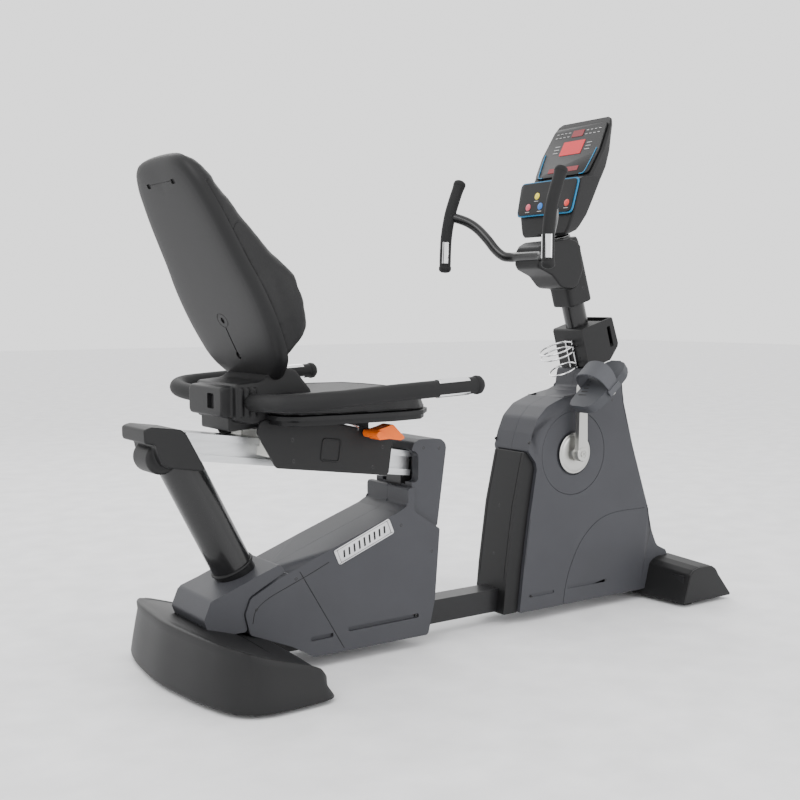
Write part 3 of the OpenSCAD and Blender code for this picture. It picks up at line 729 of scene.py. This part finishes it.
def front_foot():
    bm = bmesh.new()
    rows = []
    ys = [0, 30, 60, 100, 140, 175, 196, 198.5, 200.5, 203, 205.2, 206]
    insets = [0, 0, 0, 0, 0, 0, 0, 0.02, 0.02, 0, 0.02, 0.06]
    for s in (-1, 1):
        for y, inset in (zip(ys[::-1], insets[::-1]) if s < 0 else list(zip(ys, insets))[1:]):
            t = min(1, max(0, (y - 60) / 146))
            prof = front_profile(-14 * (1 - t), 12 * (1 - t), inset)
            rows.append([bm.verts.new((x * MM, s * y * MM, z * MM)) for x, z in prof])
    skin(bm, rows)
    piece = place("front_foot_cover", bm, black_plastic(), smooth=38)
    even_normals(piece)
    finish_piece(piece, "frame", ["front_foot_cover"])


# ---------------------------------------------------------------- mast, holder, cage, bars
def holder():
    at = mast_space(652)
    line = [(-38, 4, 8), (-38, 104, 3), (-33, 108, 3), (76, 108, 3), (80, 30, 8), (40, 0, 8), (-32, 0, 5)]
    piece = place("holder_box", prism(round_corners(line), -56, 56, 5, 4), black_plastic(), at=at)
    pocket = prism([(37, 14), (39, 130), (72, 130), (75, 34), (44, 12)], -52, 52)
    window = prism(round_corners([(50, 32, 4), (50, 88, 4), (62, 88, 4), (62, 32, 4)]), -70, -40)
    for bm in (pocket, window):
        bmesh.ops.transform(bm, matrix=at, verts=bm.verts)
    carve(piece, pocket, window)
    even_normals(piece)
    finish_piece(piece, "frame", ["holder_box"])
    back = at.to_3x3() @ Vector((-1, 0, 0))
    for z in (30, 62):
        screw("frame", tuple((at @ (Vector((-37.8, -26, z)) * MM)) / MM), back, 3.6)


def cage():
    at = mast_space(652)
    wires = []

    def hoop(x, z, r, tilt, reach=1.25):
        turn = Matrix.Rotation(math.radians(tilt), 4, "Y")
        pts = []
        for k in range(40):
            a = 2 * math.pi * k / 40
            p = turn @ Vector((r * reach * math.cos(a), r * math.sin(a), 0))
            pts.append(p + Vector((x, 0, z)))
        wires.append(sweep(pts, 2.4, 10, True))

    hoop(-87, 70, 44, -6, 1.06)
    hoop(-87, 56, 44, -6, 1.06)
    hoop(-79, 11, 36, -10, 1.06)
    for s in (-1, 1):
        wires.append(sweep(spline([(-40.6, s * 12, 78), (-40.6, s * 12, 40), (-40.6, s * 12, 4)], 4),
                           2.4, 10))
    piece = place("bottle_cage", merge(*wires), chrome(), at=at)
    finish_piece(piece, "frame", ["bottle_cage"])


def mast_cover():
    at = mast_space(812)
    bm = bmesh.new()
    rows = []
    for z, half, r in [(0, 36, 13), (1, 38, 14), (5, 39, 15), (60, 39, 16), (120, 39, 17), (160, 38, 18),
                       (168, 37, 18), (172, 35, 17)]:
        ring = round_corners([(-half, -half, r), (half, -half, r), (half, half, r), (-half, half, r)], 5)
        rows.append([bm.verts.new(Vector((x, y, z)) * MM) for x, y in ring])
    skin(bm, rows)
    bmesh.ops.transform(bm, matrix=at, verts=bm.verts)
    arm = prism(round_corners([(238, 902, 12), (243, 955, 14), (270, 969, 20), (345, 978, 10),
                               (380, 968, 10),
                               (392, 900, 10), (370, 850, 20), (318, 852, 30), (288, 882, 30)]), -48,
                               48, 13, 5)
    piece = place("mast_cover", merge(bm, arm), black_plastic())
    melt(piece, 2.2, 8)
    finish_piece(piece, "frame", ["mast_cover"])
    for side in (-1, 1):
        screw("frame", (262, 47.6 * side, 940), (0, side, 0), 4.4)
        screw("frame", (mast_x(850) + 12, 38.4 * side, 852), (0, side, 0), 4.4)


def bar_side(s):
    return [(245, s * 40, 932), (244, s * 52, 931.5), (239, s * 64, 931.5), (229, s * 82, 935),
            (219, s * 102, 952), (208, s * 122, 979), (195, s * 146, 1006), (180, s * 166, 1023),
            (163, s * 184, 1033), (150, s * 197, 1038)]


def grip_line(s):
    return [(173, s * 198, 1122), (157, s * 199, 1082), (143, s * 200, 1039), (133, s * 202, 979),
            (131, s * 204, 906)]


def bars():
    tubes = [sweep(spline(bar_side(s), 5), 12.5, 24) for s in (-1, 1)]
    tubes.append(lathe([(0, -48), (12.5, -48), (12.5, 48), (0, 48)], (245, 0, 932), (0, 1, 0), 24))
    place("handlebar_tube", merge(*tubes), black_paint(), "frame", ["handlebar"], 50)
    grips, plates, inserts = [], [], []
    for s in (-1, 1):
        path = spline(grip_line(s), 8)
        grips.append(sweep(path, lambda t: 15 + 0.8 * math.exp(-((t - 0.02) / 0.03) ** 2), 28))
        for end, away in ((path[0], path[1]), (path[-1], path[-2])):
            axis = end - away
            grips.append(lathe([(15.2, -2), (16.4, 0), (16.4, 6), (14.6, 11), (9, 14.4), (0, 15.4)],
                               tuple(end - axis.normalized() * 2), axis, 28))
        low, high = Vector(grip_line(s)[4]), Vector(grip_line(s)[3])
        axis = (high - low).normalized()
        for turn in (-1, 1):
            plates.append(arc_plate(low + axis * 11, low + axis * 67, 16.5, turn * 52, 62, s))
        inserts.append(arc_plate(low + axis * 30, low + axis * 50, 16.9, 0, 26, s))
    place("handle_grips", merge(*grips), foam(), "frame", ["handle_grips"], 50)
    place("handle_plates", merge(*plates), chrome(), "frame", ["handle_plates"], 50)
    place("handle_inserts", merge(*inserts), black_plastic(), "frame", smooth=50)


def arc_plate(a, b, radius, centre, spread, s=1, thick=1.6, toward=(-1, 0, 0), steps=12):
    """A curved plate that hugs a tube between two points, its middle turned from a direction."""
    bm = bmesh.new()
    axis = (b - a).normalized()
    out = Vector(toward)
    out = (out - axis * out.dot(axis)).normalized()
    side = axis.cross(out)
    rows = []
    length = (b - a).length
    for h, lift in [(0, -thick * 0.6), (0.8, 0), (length - 0.8, 0), (length, -thick * 0.6)]:
        row = []
        for k in range(steps + 1):
            ang = math.radians(centre - spread / 2 + spread * k / steps)
            drop = -thick * 0.6 if k in (0, steps) else 0
            r = radius + min(lift, drop)
            row.append(bm.verts.new((a + axis * h + (out * math.cos(ang) + side * math.sin(ang)) * r) * MM))
        rows.append(row)
    base = []
    for h in (0, length):
        base.append([bm.verts.new((a + axis * h + (out * math.cos(math.radians(centre - spread / 2
                    + spread * k / steps)) + side * math.sin(math.radians(centre - spread / 2
                    + spread * k / steps))) * (radius - thick)) * MM) for k in range(steps + 1)])
    grid = [base[0]] + rows + [base[1]]
    for p, q in zip(grid, grid[1:]):
        for k in range(steps):
            bm.faces.new((p[k], p[k + 1], q[k + 1], q[k]))
    for k in range(steps):
        bm.faces.new((base[1][k], base[1][k + 1], base[0][k + 1], base[0][k]))
    left, right = [g[0] for g in grid], [g[-1] for g in grid]
    bm.faces.new(left)
    bm.faces.new(right)
    return bm


# ---------------------------------------------------------------- console
def at_z(line, z):
    for (z0, v0), (z1, v1) in zip(line, line[1:]):
        if z <= z1:
            return v0 + (v1 - v0) * (z - z0) / (z1 - z0)
    return line[-1][1]


def console():
    front = [(984, 298), (990, 294), (1036, 301), (1124, 322), (1129, 330), (1133, 353), (1284, 433.5)]
    back = [(984, 306), (998, 338), (1018, 353), (1072, 378), (1161, 418), (1257, 438), (1287, 443)]
    wide = [(984, 80), (992, 88), (1040, 104), (1130, 110), (1200, 116), (1272, 107), (1287, 98)]
    bm = bmesh.new()
    rows = []
    levels = [984, 986, 990, 998, 1010, 1036, 1060, 1090, 1118, 1124, 1127, 1129, 1131, 1133, 1136,
              1160, 1200,
              1240, 1265, 1276, 1282, 1286, 1288]
    for z in levels:
        f, b, w = at_z(front, z), at_z(back, z), at_z(wide, z)
        if z > 1282:
            w -= (z - 1282) * 1.6
            f, b = f + (z - 1282) * 0.4, b - (z - 1282) * 0.4
        r = min(12, (b - f) * 0.45)
        ring = round_corners([(f, -w, r * 0.6), (f, w, r * 0.6), (b, w * 0.9, r), (b, -w * 0.9, r)], 5)
        rows.append([bm.verts.new((x * MM, y * MM, z * MM)) for x, y in ring])
    skin(bm, rows)
    piece = place("console_back", bm, shell_black(), smooth=35)
    even_normals(piece)
    finish_piece(piece, "frame", ["console_back"])
    face, pad = face_space(), pad_space()
    glass = round_corners([(-100, 10, 10), (-107, 78, 8), (-97, 162, 12), (97, 162, 12), (107, 78, 8),
                           (100, 10, 10)])
    piece = place("console_front", prism(glass, -3, 0.4, 0.8, 2, plane="yz"), gloss_black(), at=face)
    finish_piece(piece, "frame", ["console_front"])

    def window(name, w, z0, z1, look, slot, nodes=()):
        shape = round_corners([(-w, z0, 2), (w, z0, 2), (w, z1, 2), (-w, z1, 2)])
        piece = place(name, prism(shape, -3.9, -2.9, plane="yz"), look, at=face)
        finish_piece(piece, "frame", nodes)

    window("window_main", 40, 74, 116, red_glass(), "screen_red", ["screen_windows"])
    window("window_top", 21, 129, 149, dull_red(), "screen_red")
    window("window_strip", 56, 22, 36, dull_red(), "screen_red")
    marks = []
    for s in (-1, 1):
        for row in range(2):
            for k in range(4):
                y, z = s * (34 + k * 15), 132 + row * 12
                marks.append(prism([(y - 4, z), (y + 4, z), (y + 4, z + 1.6), (y - 4, z + 1.6)],
                                   -3.7, -2.9, plane="yz"))
        for k in range(3):
            y, z = s * 60, 84 + k * 10
            marks.append(prism([(y - 9, z), (y + 9, z), (y + 9, z + 1.5), (y - 9, z + 1.5)],
                               -3.7, -2.9, plane="yz"))
    place("console_marks", merge(*marks), pale_print(), "frame", at=face)
    trims = []
    for s in (-1, 1):
        path = [(-3.4, s * y, z) for y, z in ((97, 84), (93, 50), (86, 14), (70, 10))]
        trims.append(sweep(spline(path, 6), 1.5, 10))
    side_trim = merge(*trims)
    bmesh.ops.transform(side_trim, matrix=face, verts=side_trim.verts)
    plate = round_corners([(-106, 0, 14), (106, 0, 14), (111, 92, 12), (-111, 92, 12)])
    rim = prism(plate, -3, -0.05, 1.2, 3, plane="yz")
    bmesh.ops.transform(rim, matrix=pad, verts=rim.verts)
    piece = place("console_trim", merge(side_trim, rim), blue())
    hollow = prism(round_corners([(-94, 8, 10), (94, 8, 10), (98, 82, 9), (-98, 82, 9)]), -9, 2, plane="yz")
    bmesh.ops.transform(hollow, matrix=pad, verts=hollow.verts)
    carve(piece, hollow)
    finish_piece(piece, "frame", ["console_trim"])
    panel = round_corners([(-102, 3.5, 13), (102, 3.5, 13), (107, 88.5, 11), (-107, 88.5, 11)])
    piece = place("keypad_panel", prism(panel, -6, -2.9, 1.2, 3, plane="yz"), shell_black(), at=pad)
    wells = []
    for y, z in KEYS:
        well = lathe([(0, -7), (9.5, -7), (9.5, -2.7), (0, -2.7)], (0, y, z), (1, 0, 0), 32)
        bmesh.ops.transform(well, matrix=pad, verts=well.verts)
        wells.append(well)
    carve(piece, *wells)
    finish_piece(piece, "frame", ["keypad_panel"])
    looks = [("key_yellow", (0.72, 0.6, 0.05)), ("key_white", (0.8, 0.8, 0.8)),
             ("key_red", (0.6, 0.05, 0.04)),
             ("key_pink", (0.6, 0.09, 0.13)), ("key_blue", (0.03, 0.16, 0.5)),
             ("key_green", (0.36, 0.5, 0.04))]
    labels = []
    for i, ((y, z), (slot, colour)) in enumerate(zip(KEYS, looks), 1):
        # painted glow: each key cap emits a little of its own colour, though the keys hold no lamp
        look = material(slot, colour, 0.3, grain=400, bump=0.03, spread=0.05, painted_glow=0.15)
        cap = lathe([(0, 0), (9, 0), (9, 2.8), (8.2, 3.5), (4, 3.9), (0, 4)], (-3.6, y, z), (-1, 0, 0), 32)
        place("key_cap_%d" % i, cap, look, "key_%d" % i, ["key_%d" % i], at=pad)
        labels.append(prism([(y - 8, z - 14), (y + 8, z - 14), (y + 8, z - 12.6), (y - 8, z - 12.6)],
                            -6.4, -5.8, plane="yz"))
    place("keypad_labels", merge(*labels), pale_print(), "frame", at=pad)


KEYS = [(35, 52), (-15, 52), (-84, 26), (63, 24), (16, 24), (-32, 24)]


# ---------------------------------------------------------------- crank and pedals
def crank():
    x, z = CRANK
    for s, up, name in ((-1, 1, "right"), (1, -1, "left")):
        tip = z + up * 170
        outline = []
        for k in range(25):
            a = math.pi * k / 24
            outline.append((x + 16 * math.cos(a), z - up * 16 * math.sin(a)))
        for k in range(25):
            a = math.pi * k / 24
            outline.append((x - 12.5 * math.cos(a), tip + up * 12.5 * math.sin(a)))
        arm = prism(outline, s * 89, s * 103, 4, 4)
        boss = lathe([(0, -12), (19, -12), (19, 6), (17.5, 8), (10, 8), (9, 5), (0, 5)], (x, s * 96, z),
                     (0, s, 0), 40)
        pin = lathe([(0, 0), (7, 0), (7, 101), (10.5, 101.2), (10.5, 104), (0, 104)], (x, s * 103, tip),
                    (0, s, 0), 24)
        bolt = lathe([(0, 0), (4, 0), (4, 3.5), (8, 3.5), (8.4, 2), (8.4, -2), (0, -2)], (x, s * 101.5, z),
                     (0, s, 0), 6)
        place("crank_arm_" + name, merge(arm, boss, pin, bolt), cast_silver(), "crank",
              ["crank_arm_" + name])
        disc = lathe([(0, 3), (12, 3), (20, 5.6), (40, 5.2), (46, 4), (48, 2.6), (51, 2.4), (53, 1.6),
                      (53, 0),
                      (0, 0)], (x, s * 71, z), (0, s, 0), 72)
        place("crank_disc_" + name, disc, cast_silver(), "crank",
              ["crank_disc_" + name], 30)


def pedals():
    for s, up, name in ((-1, 1, "right"), (1, -1, "left")):
        z = CRANK[1] + up * 170
        at = Matrix.Translation(Vector((CRANK[0], 0, z)) * MM) @ Matrix.Rotation(math.radians(-40), 4, "Y")
        plan = round_corners([(-78, 114, 22), (-30, 109, 30), (60, 109, 30), (92, 124, 24), (92, 188, 24),
                              (60, 203, 30), (-30, 203, 30), (-78, 198, 22)], 6)
        bm = prism([(px, s * py) for px, py in plan], -14, 12, 5, 4, plane="xy")
        for v in bm.verts:
            px = v.co.x / MM
            v.co.z += (0.0011 * max(0, px - 30) ** 2 + 0.0009 * max(0, -20 - px) ** 2) * MM
            if v.co.z < 0:
                v.co.z *= 1 - 0.35 * min(1, abs(px) / 90)
        piece = place("pedal_" + name, bm, pedal_grey(), at=at)
        grips = []
        for k in range(-3, 6):
            grips.append(prism([(k * 12 - 2, s * 122), (k * 12 + 2, s * 122), (k * 12 + 2, s * 190),
                                (k * 12 - 2, s * 190)], 11.5, 13.8, 0.8, 2, plane="xy"))
        treads = place("pedal_tread_" + name, merge(*grips), rubber(), at=at)
        cuts = []
        for side_x in (-48, 44):
            hole = prism(round_corners([(side_x - 9, s * 130, 5), (side_x + 9, s * 130, 5),
                                        (side_x + 9, s * 182, 5), (side_x - 9, s * 182, 5)]), -30, 6,
                                        plane="xy")
            bmesh.ops.transform(hole, matrix=at, verts=hole.verts)
            cuts.append(hole)
        carve(piece, *cuts)
        finish_piece(piece, "pedal_" + name, ["pedal_" + name])
        finish_piece(treads, "pedal_" + name)
        strap(s, name, at)


def strap(s, name, at):
    arch = spline([(0, 106, 4), (0, 106.5, 24), (0, 112, 42), (0, 128, 56), (0, 156, 61), (0, 184, 56),
                   (0, 200, 42), (0, 205.5, 24), (0, 206, 4)], 6)
    bm = bmesh.new()
    rows = []
    for i, p in enumerate(arch):
        d = (arch[min(i + 1, len(arch) - 1)] - arch[max(i - 1, 0)]).normalized()
        n = Vector((0, -d.z, d.y))
        half = 17 + 9 * math.sin(math.pi * i / (len(arch) - 1))
        lean = 6 + p.z * 0.12
        ring = [(lean - half, 0.2), (lean - half + 1, 2.2), (lean + half - 1, 2.2), (lean + half, 0.2),
                (lean + half, -0.6), (lean - half, -0.6)]
        rows.append([bm.verts.new(Vector((a, s * (p.y + n.y * b), p.z + n.z * b)) * MM) for a, b in ring])
    skin(bm, rows)
    buckle = prism(round_corners([(-16, s * 206, 3), (28, s * 206, 3), (28, s * 211, 3),
                                  (-16, s * 211, 3)]),
                   -6, 10, 1.5, 3, plane="xy")
    piece = place("pedal_strap_" + name, merge(bm, buckle), strap_grey(), at=at)
    finish_piece(piece, "pedal_" + name, ["pedal_strap_" + name])


# ---------------------------------------------------------------- sliding seat
def carriage():
    at = rail_space()
    line = [(-374, 14, 10), (-368, 40, 12), (-300, 47, 30), (-60, 46, 10), (-34, 44, 8), (-30, 24, 6),
            (-30, -50, 5), (-36, -57, 6), (-318, -58, 10)]
    parts = []
    for s in (-1, 1):
        parts.append(prism(round_corners(line), s * 96.8, s * 102.2, 1.8, 3))
        dish = round_corners([(-212, -34, 8), (-212, 14, 8), (-166, 14, 8), (-166, -34, 8)])
        parts.append(sweep([(p[0], s * 102.2, p[1]) for p in dish], 2.2, 10, True))
    parts.append(prism([(-350, 18.5), (-45, 18.5), (-45, 24.5), (-350, 24.5)], -97, 97, 1, 2))
    for bm in parts:
        bmesh.ops.transform(bm, matrix=at, verts=bm.verts)
    parts.append(prism(round_corners([(-540, 545.5, 2), (-540, 555.6, 2), (-280, 555.6, 6),
                                      (-280, 509.5, 6)]),
                       -60, 60, 2, 2))
    for s in (-1, 1):
        parts.append(lathe([(0, 0), (17, 0), (19, 3), (19, 12), (16, 15), (0, 15.5)], (-452, 97 * s, 566),
                           (0, s, 0), 40))
        for x, z in [(-501, 519), (-499, 473), (-297, 444), (-270, 488)]:
            screw("seat", (x, 101.8 * s, z), (0, s, 0), 4.6)
    piece = place("seat_carriage", merge(*parts), black_plastic(), "seat",
                  ["seat_carriage"])
    even_normals(piece)


def hump():
    body = prism(round_corners([(-630, 566, 8), (-630, 643, 8), (-571, 648, 30), (-540, 668, 30),
                                (-516, 676, 20), (-488, 668, 20), (-452, 626, 10), (-436, 558, 8),
                                (-600, 558, 8)]), -98, 98, 16, 5)
    block = prism(round_corners([(-656, 574, 8), (-656, 636, 8), (-610, 640, 8), (-600, 600, 8),
                                 (-610, 570, 8)]), -80, 80, 8, 4)
    neck = prism(round_corners([(-633, 541, 4), (-633, 580, 4), (-545, 570, 4), (-545, 548, 4)]), -70,
                 70, 4, 3)
    ribs = []
    for s in (-1, 1):
        for k in range(3):
            x = -622 + k * 15
            ribs.append(prism([(x, 574), (x + 7, 574), (x + 7, 634), (x, 634)], s * 94, s * 102.5, 2, 2))
    piece = place("carriage_cover", merge(body, block, neck, *ribs), black_plastic())
    melt(piece, 2.4, 5)
    hook = prism(round_corners([(-46, 590, 4), (-14, 590, 4), (-14, 622, 4), (-46, 622, 4)]), -664, -648,
                 plane="yz")
    carve(piece, hook)
    finish_piece(piece, "seat", ["carriage_cover"])


def arm_run(s):
    return [(-592, s * 88, 603), (-596, s * 150, 606), (-600, s * 230, 610), (-594, s * 280, 614),
            (-572, s * 322, 618), (-540, s * 343, 622), (-500, s * 350, 625), (-393, s * 350, 631),
            (-199, s * 350, 639)]


def armrests():
    tubes, plates, caps = [], [], []
    for s in (-1, 1):
        path = spline(arm_run(s), 8)
        tubes.append(sweep(path, lambda t: 17.6 + 1.2 * (0.5 - 0.5 * math.tanh((t - 0.62) * 22)), 30))
        axis = path[-1] - path[-2]
        caps.append(lathe([(17, -3), (19.6, -1), (20.2, 3), (19, 10), (14, 15.6), (7, 18), (0, 18.8)],
                          tuple(path[-1]), axis, 36))
        a, b = Vector((-300, s * 350, 634.8)), Vector((-222, s * 350, 638.1))
        for centre in (0, 180):
            plates.append(arc_plate(a, b, 19.5, centre, 100, s, toward=(0, 0, 1)))
    place("armrest_tube", merge(*tubes, *caps), foam(), "seat", ["armrest_tube"], 50)
    place("armrest_plates", merge(*plates), chrome(), "seat", ["armrest_plates"], 50)


def seat_plan(o):
    half = [(-566 + o, 0), (-566 + o, 150), (-540, 190 - o), (-440, 202 - o), (-300, 212 - o),
            (-225, 200 - o),
            (-170 - o, 140), (-152 - o, 70)]
    return [(x, y, 26) for x, y in half] + [(-152 - o, 0, 0)] + [(x, -y, 26) for x, y in half[:0:-1]]


def seat_base():
    low = prism(round_corners(seat_plan(12)), 556, 568, 4, 3, plane="xy")
    top = prism(round_corners(seat_plan(3)), 567, 576, 3, 3, plane="xy")
    rail = sweep(spline([(-394, -104, 556), (-386, -114, 551), (-364, -118, 545), (-344, -112, 540),
                         (-336, -103, 532)], 6), 3, 10)
    piece = place("seat_pan", merge(low, top), black_plastic(), "seat", ["seat_pan"])
    even_normals(piece)
    place("lever_rod", rail, chrome(), "seat", smooth=50)


def inflate(piece, cap, voxel=5.5, pressure=4.0, freeze=None):
    """Cloth pressure puffs the pad; no point moves past the cap, and held points stay."""
    remesh = piece.modifiers.new("remesh", "REMESH")
    remesh.mode, remesh.voxel_size = "VOXEL", voxel * MM
    apply_all(piece)
    rest = [v.co.copy() for v in piece.data.vertices]
    scene = bpy.context.scene
    scene.frame_start, scene.frame_end = 1, 20
    cloth = piece.modifiers.new("cloth", "CLOTH")
    cloth.settings.use_pressure = True
    cloth.settings.uniform_pressure_force = pressure
    cloth.settings.effector_weights.gravity = 0
    cloth.settings.tension_stiffness = 18
    cloth.settings.compression_stiffness = 18
    cloth.settings.bending_stiffness = 2
    cloth.point_cache.frame_start, cloth.point_cache.frame_end = 1, 20
    for f in range(1, 21):
        scene.frame_set(f)
    apply_all(piece)
    scene.frame_set(1)
    for v, start in zip(piece.data.vertices, rest):
        move = v.co - start
        if move.length > cap * MM:
            move *= cap * MM / move.length
        if freeze:
            move *= freeze(start / MM)
        v.co = start + move
    soft = piece.modifiers.new("soft", "SMOOTH")
    soft.factor, soft.iterations = 0.5, 6
    fine = piece.modifiers.new("fine", "SUBSURF")
    fine.levels = 1
    fine.render_levels = 1
    apply_all(piece)
    piece.data.shade_smooth()


def seams(piece, paths, name, body, radius=0.9, lift=0.2, look=None):
    """Thin piping laid on the surface of a pad, each path given from outside it."""
    tree = BVHTree.FromPolygons([v.co for v in piece.data.vertices],
                                [tuple(p.vertices) for p in piece.data.polygons])
    lines = []
    for path in paths:
        laid = []
        for p in path:
            spot, normal, _, _ = tree.find_nearest(Vector(p) * MM)
            laid.append(tuple((spot + normal * lift * MM) / MM))
        lines.append(sweep(laid, radius, 8))
    place(name, merge(*lines), look or vinyl(), body, smooth=60)


def seat_cushion():
    bm = prism(round_corners(seat_plan(9)), 577, 611, 12, 5, plane="xy")
    piece = place("seat_cushion", bm, vinyl())
    inflate(piece, 9, freeze=lambda p: max(0.0, min(1.0, (p.z - 578) / 16)))
    finish_piece(piece, "seat", ["seat_cushion"])
    rim = [(x, y, 586) for x, y in round_corners(seat_plan(-8))]
    inner = [(x, y, 640) for x, y in round_corners(seat_plan(55))]
    seams(piece, [rim + rim[:1], inner + inner[:1]], "seat_seams", "seat", 1.3)


BACK_HALF = [(60, 232), (115, 218), (145, 180), (158, 140), (168, 100), (176, 50), (183, 0), (195, -55),
             (198, -111), (191, -166), (172, -222), (130, -258), (80, -277)]


def back_outline(o=0, low=-277):
    pts = [(max(0, y - o), max(low, v - o if v > 0 else v + o)) for y, v in BACK_HALF]
    ring = spline([(y, v, 0) for y, v in pts] + [(-y, v, 0) for y, v in pts[::-1]], 4, True)
    return [(p.x, p.y) for p in ring]


def pad_depth(v):
    line = [(-277, 6), (-222, 20), (-202, 58), (-186, 72), (-132, 82), (-80, 85), (-14, 64), (77, 41),
            (157, 31),
            (212, 28), (240, 24)]
    return at_z(line, v)


def backrest():
    at = back_space()
    bm = bmesh.new()
    ring = back_outline(5, -228)
    rows = []
    for share, inset in [(0.0, 2), (0.25, 0), (0.7, 0), (0.9, 3), (1.0, 9), (1.02, 24), (1.03, 45),
                         (1.03, 70),
                         (1.03, 100), (1.03, 140), (1.03, 190)]:
        row = []
        for y, v in ring:
            c = Vector((0, max(-150, min(150, v))))
            p = Vector((y, v))
            d = (c - p)
            q = p + d.normalized() * min(inset, d.length * 0.97)
            row.append(bm.verts.new(Vector((1 + share * (pad_depth(q.y) - 7), q.x, q.y)) * MM))
        rows.append(row)
    skin(bm, rows)
    piece = place("back_cushion", bm, vinyl(), at=at)
    inverse = at.inverted()
    inflate(piece, 8, freeze=lambda p: max(0.0, min(1.0, ((inverse @ (p * MM)).x / MM - 4) / 20)))
    finish_piece(piece, "seat", ["back_cushion"])
    bands = []
    for s in (-1, 1):
        for v in (172, 62):
            half = 182 if v < 100 else 150
            bands.append([at @ (Vector((d, s * (half + 30), v + d * 0.35)) * MM) / MM
                          for d in range(4, int(pad_depth(v)), 3)])
    edge = [(y * 0.86, v * 0.9) for y, v in back_outline(12, -205)]
    front = [at @ (Vector((pad_depth(v) + 30, y, v)) * MM) / MM for y, v in edge]
    seams(piece, bands + [front + front[:1]], "back_seams", "seat", 0.9, look=gloss_black())
    back_cover(at)


def back_cover(at):
    """The moulded shell behind the pad, with its rolled rim."""
    bm = bmesh.new()
    ring = back_outline(0)
    rows = []
    for depth, inset in [(1.6, 3.5), (0.8, 0.6), (-2, 0), (-8, 0.6), (-14, 3), (-19, 9), (-22, 20),
                         (-24, 40), (-25, 70), (-25.4, 110)]:
        row = []
        for y, v in ring:
            c = Vector((0, max(-160, min(150, v))))
            p = Vector((y, v))
            d = c - p
            q = p + d.normalized() * min(inset, d.length * 0.92)
            row.append(bm.verts.new(Vector((depth, q.x, q.y)) * MM))
        rows.append(row)
    skin(bm, rows, caps=False)
    bm.faces.new(rows[-1])
    bm.faces.new(rows[0])
    piece = place("back_shell", bm, black_plastic(), at=at)
    cuts = []
    for s in (-1, 1):
        cuts.append(round_corners([(s * 62 - 9, 176, 3), (s * 62 + 9, 176, 3), (s * 62 + 9, 186, 3),
                                   (s * 62 - 9, 186, 3)]))
    solids = [prism(c, -32, -21.6, plane="yz") for c in cuts]
    solids.append(prism(round_corners([(-56, 182.4, 0), (56, 182.4, 0), (56, 184, 0), (-56, 184, 0)]),
                        -32, -23.4,
                        plane="yz"))
    ring_path = [(-25.6, 22 * math.cos(a * math.pi / 16), -128 + 16 * math.sin(a * math.pi / 16))
                 for a in range(32)]
    solids.append(sweep(ring_path, 1.3, 8, True))
    solids.append(prism(round_corners([(-2.4, -205, 2), (2.4, -205, 2), (2.4, -146, 2), (-2.4, -146, 2)]),
                        -32, -23.6, plane="yz"))
    solids.append(lathe([(0, -6), (7, -6), (7, 8), (0, 8)], (-27, 0, -128), (-1, 0, 0), 24))
    solids.append(lathe([(0, -6), (9, -6), (9, 8), (0, 8)], (-26, 0, -212), (-1, 0, 0), 24))
    for bm in solids:
        bmesh.ops.transform(bm, matrix=at, verts=bm.verts)
    carve(piece, *solids)
    finish_piece(piece, "seat", ["back_shell"])
    out = at.to_3x3() @ Vector((-1, 0, 0))
    for v in (-128, -212):
        screw("seat", tuple((at @ (Vector((-21.5, 0, v)) * MM)) / MM), out, 4.4)


def lever():
    blade = prism(round_corners([(-318, 512, 4), (-322, 534, 6), (-300, 539, 6), (-280, 545, 5),
                                 (-247, 512, 3),
                                 (-260, 508, 4), (-290, 513, 6)]), -160, -122, 3, 4)
    hub = lathe([(0, 0), (9, 0), (9, 54), (7.5, 57), (0, 57)], (-318, -108.5, 524), (0, -1, 0), 32)
    piece = place("seat_lever", merge(blade, hub), orange())
    finish_piece(piece, "slide_lever", ["seat_lever"])


# ---------------------------------------------------------------- pieces that keep their CAD shape
def dress():
    looks = {"main_beam": frame_paint, "foot_tubes": frame_paint, "levelling_feet": rubber,
             "front_mast": black_paint, "drive_bracket": frame_paint, "drive_belt": rubber,
             "rear_post": black_paint, "seat_rail": alloy, "crank_axle": steel,
             "drive_pulley": black_plastic,
             "flywheel": steel, "slide_pads": white_nylon, "back_frame": frame_paint, "clamp_shoe": rubber}
    for name, look in looks.items():
        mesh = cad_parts[name].data
        mesh.materials.clear()
        mesh.materials.append(look())


make_camera()
studio()
for side in (-1, 1):
    front_half(side)
    rear_half(side)
hub_plates()
column_cover()
rear_cap()
saddle()
badge()
rail_end()
rear_foot()
front_foot()
holder()
cage()
mast_cover()
bars()
console()
crank()
pedals()
carriage()
hump()
armrests()
seat_base()
seat_cushion()
backrest()
lever()
flush_screws()
dress()
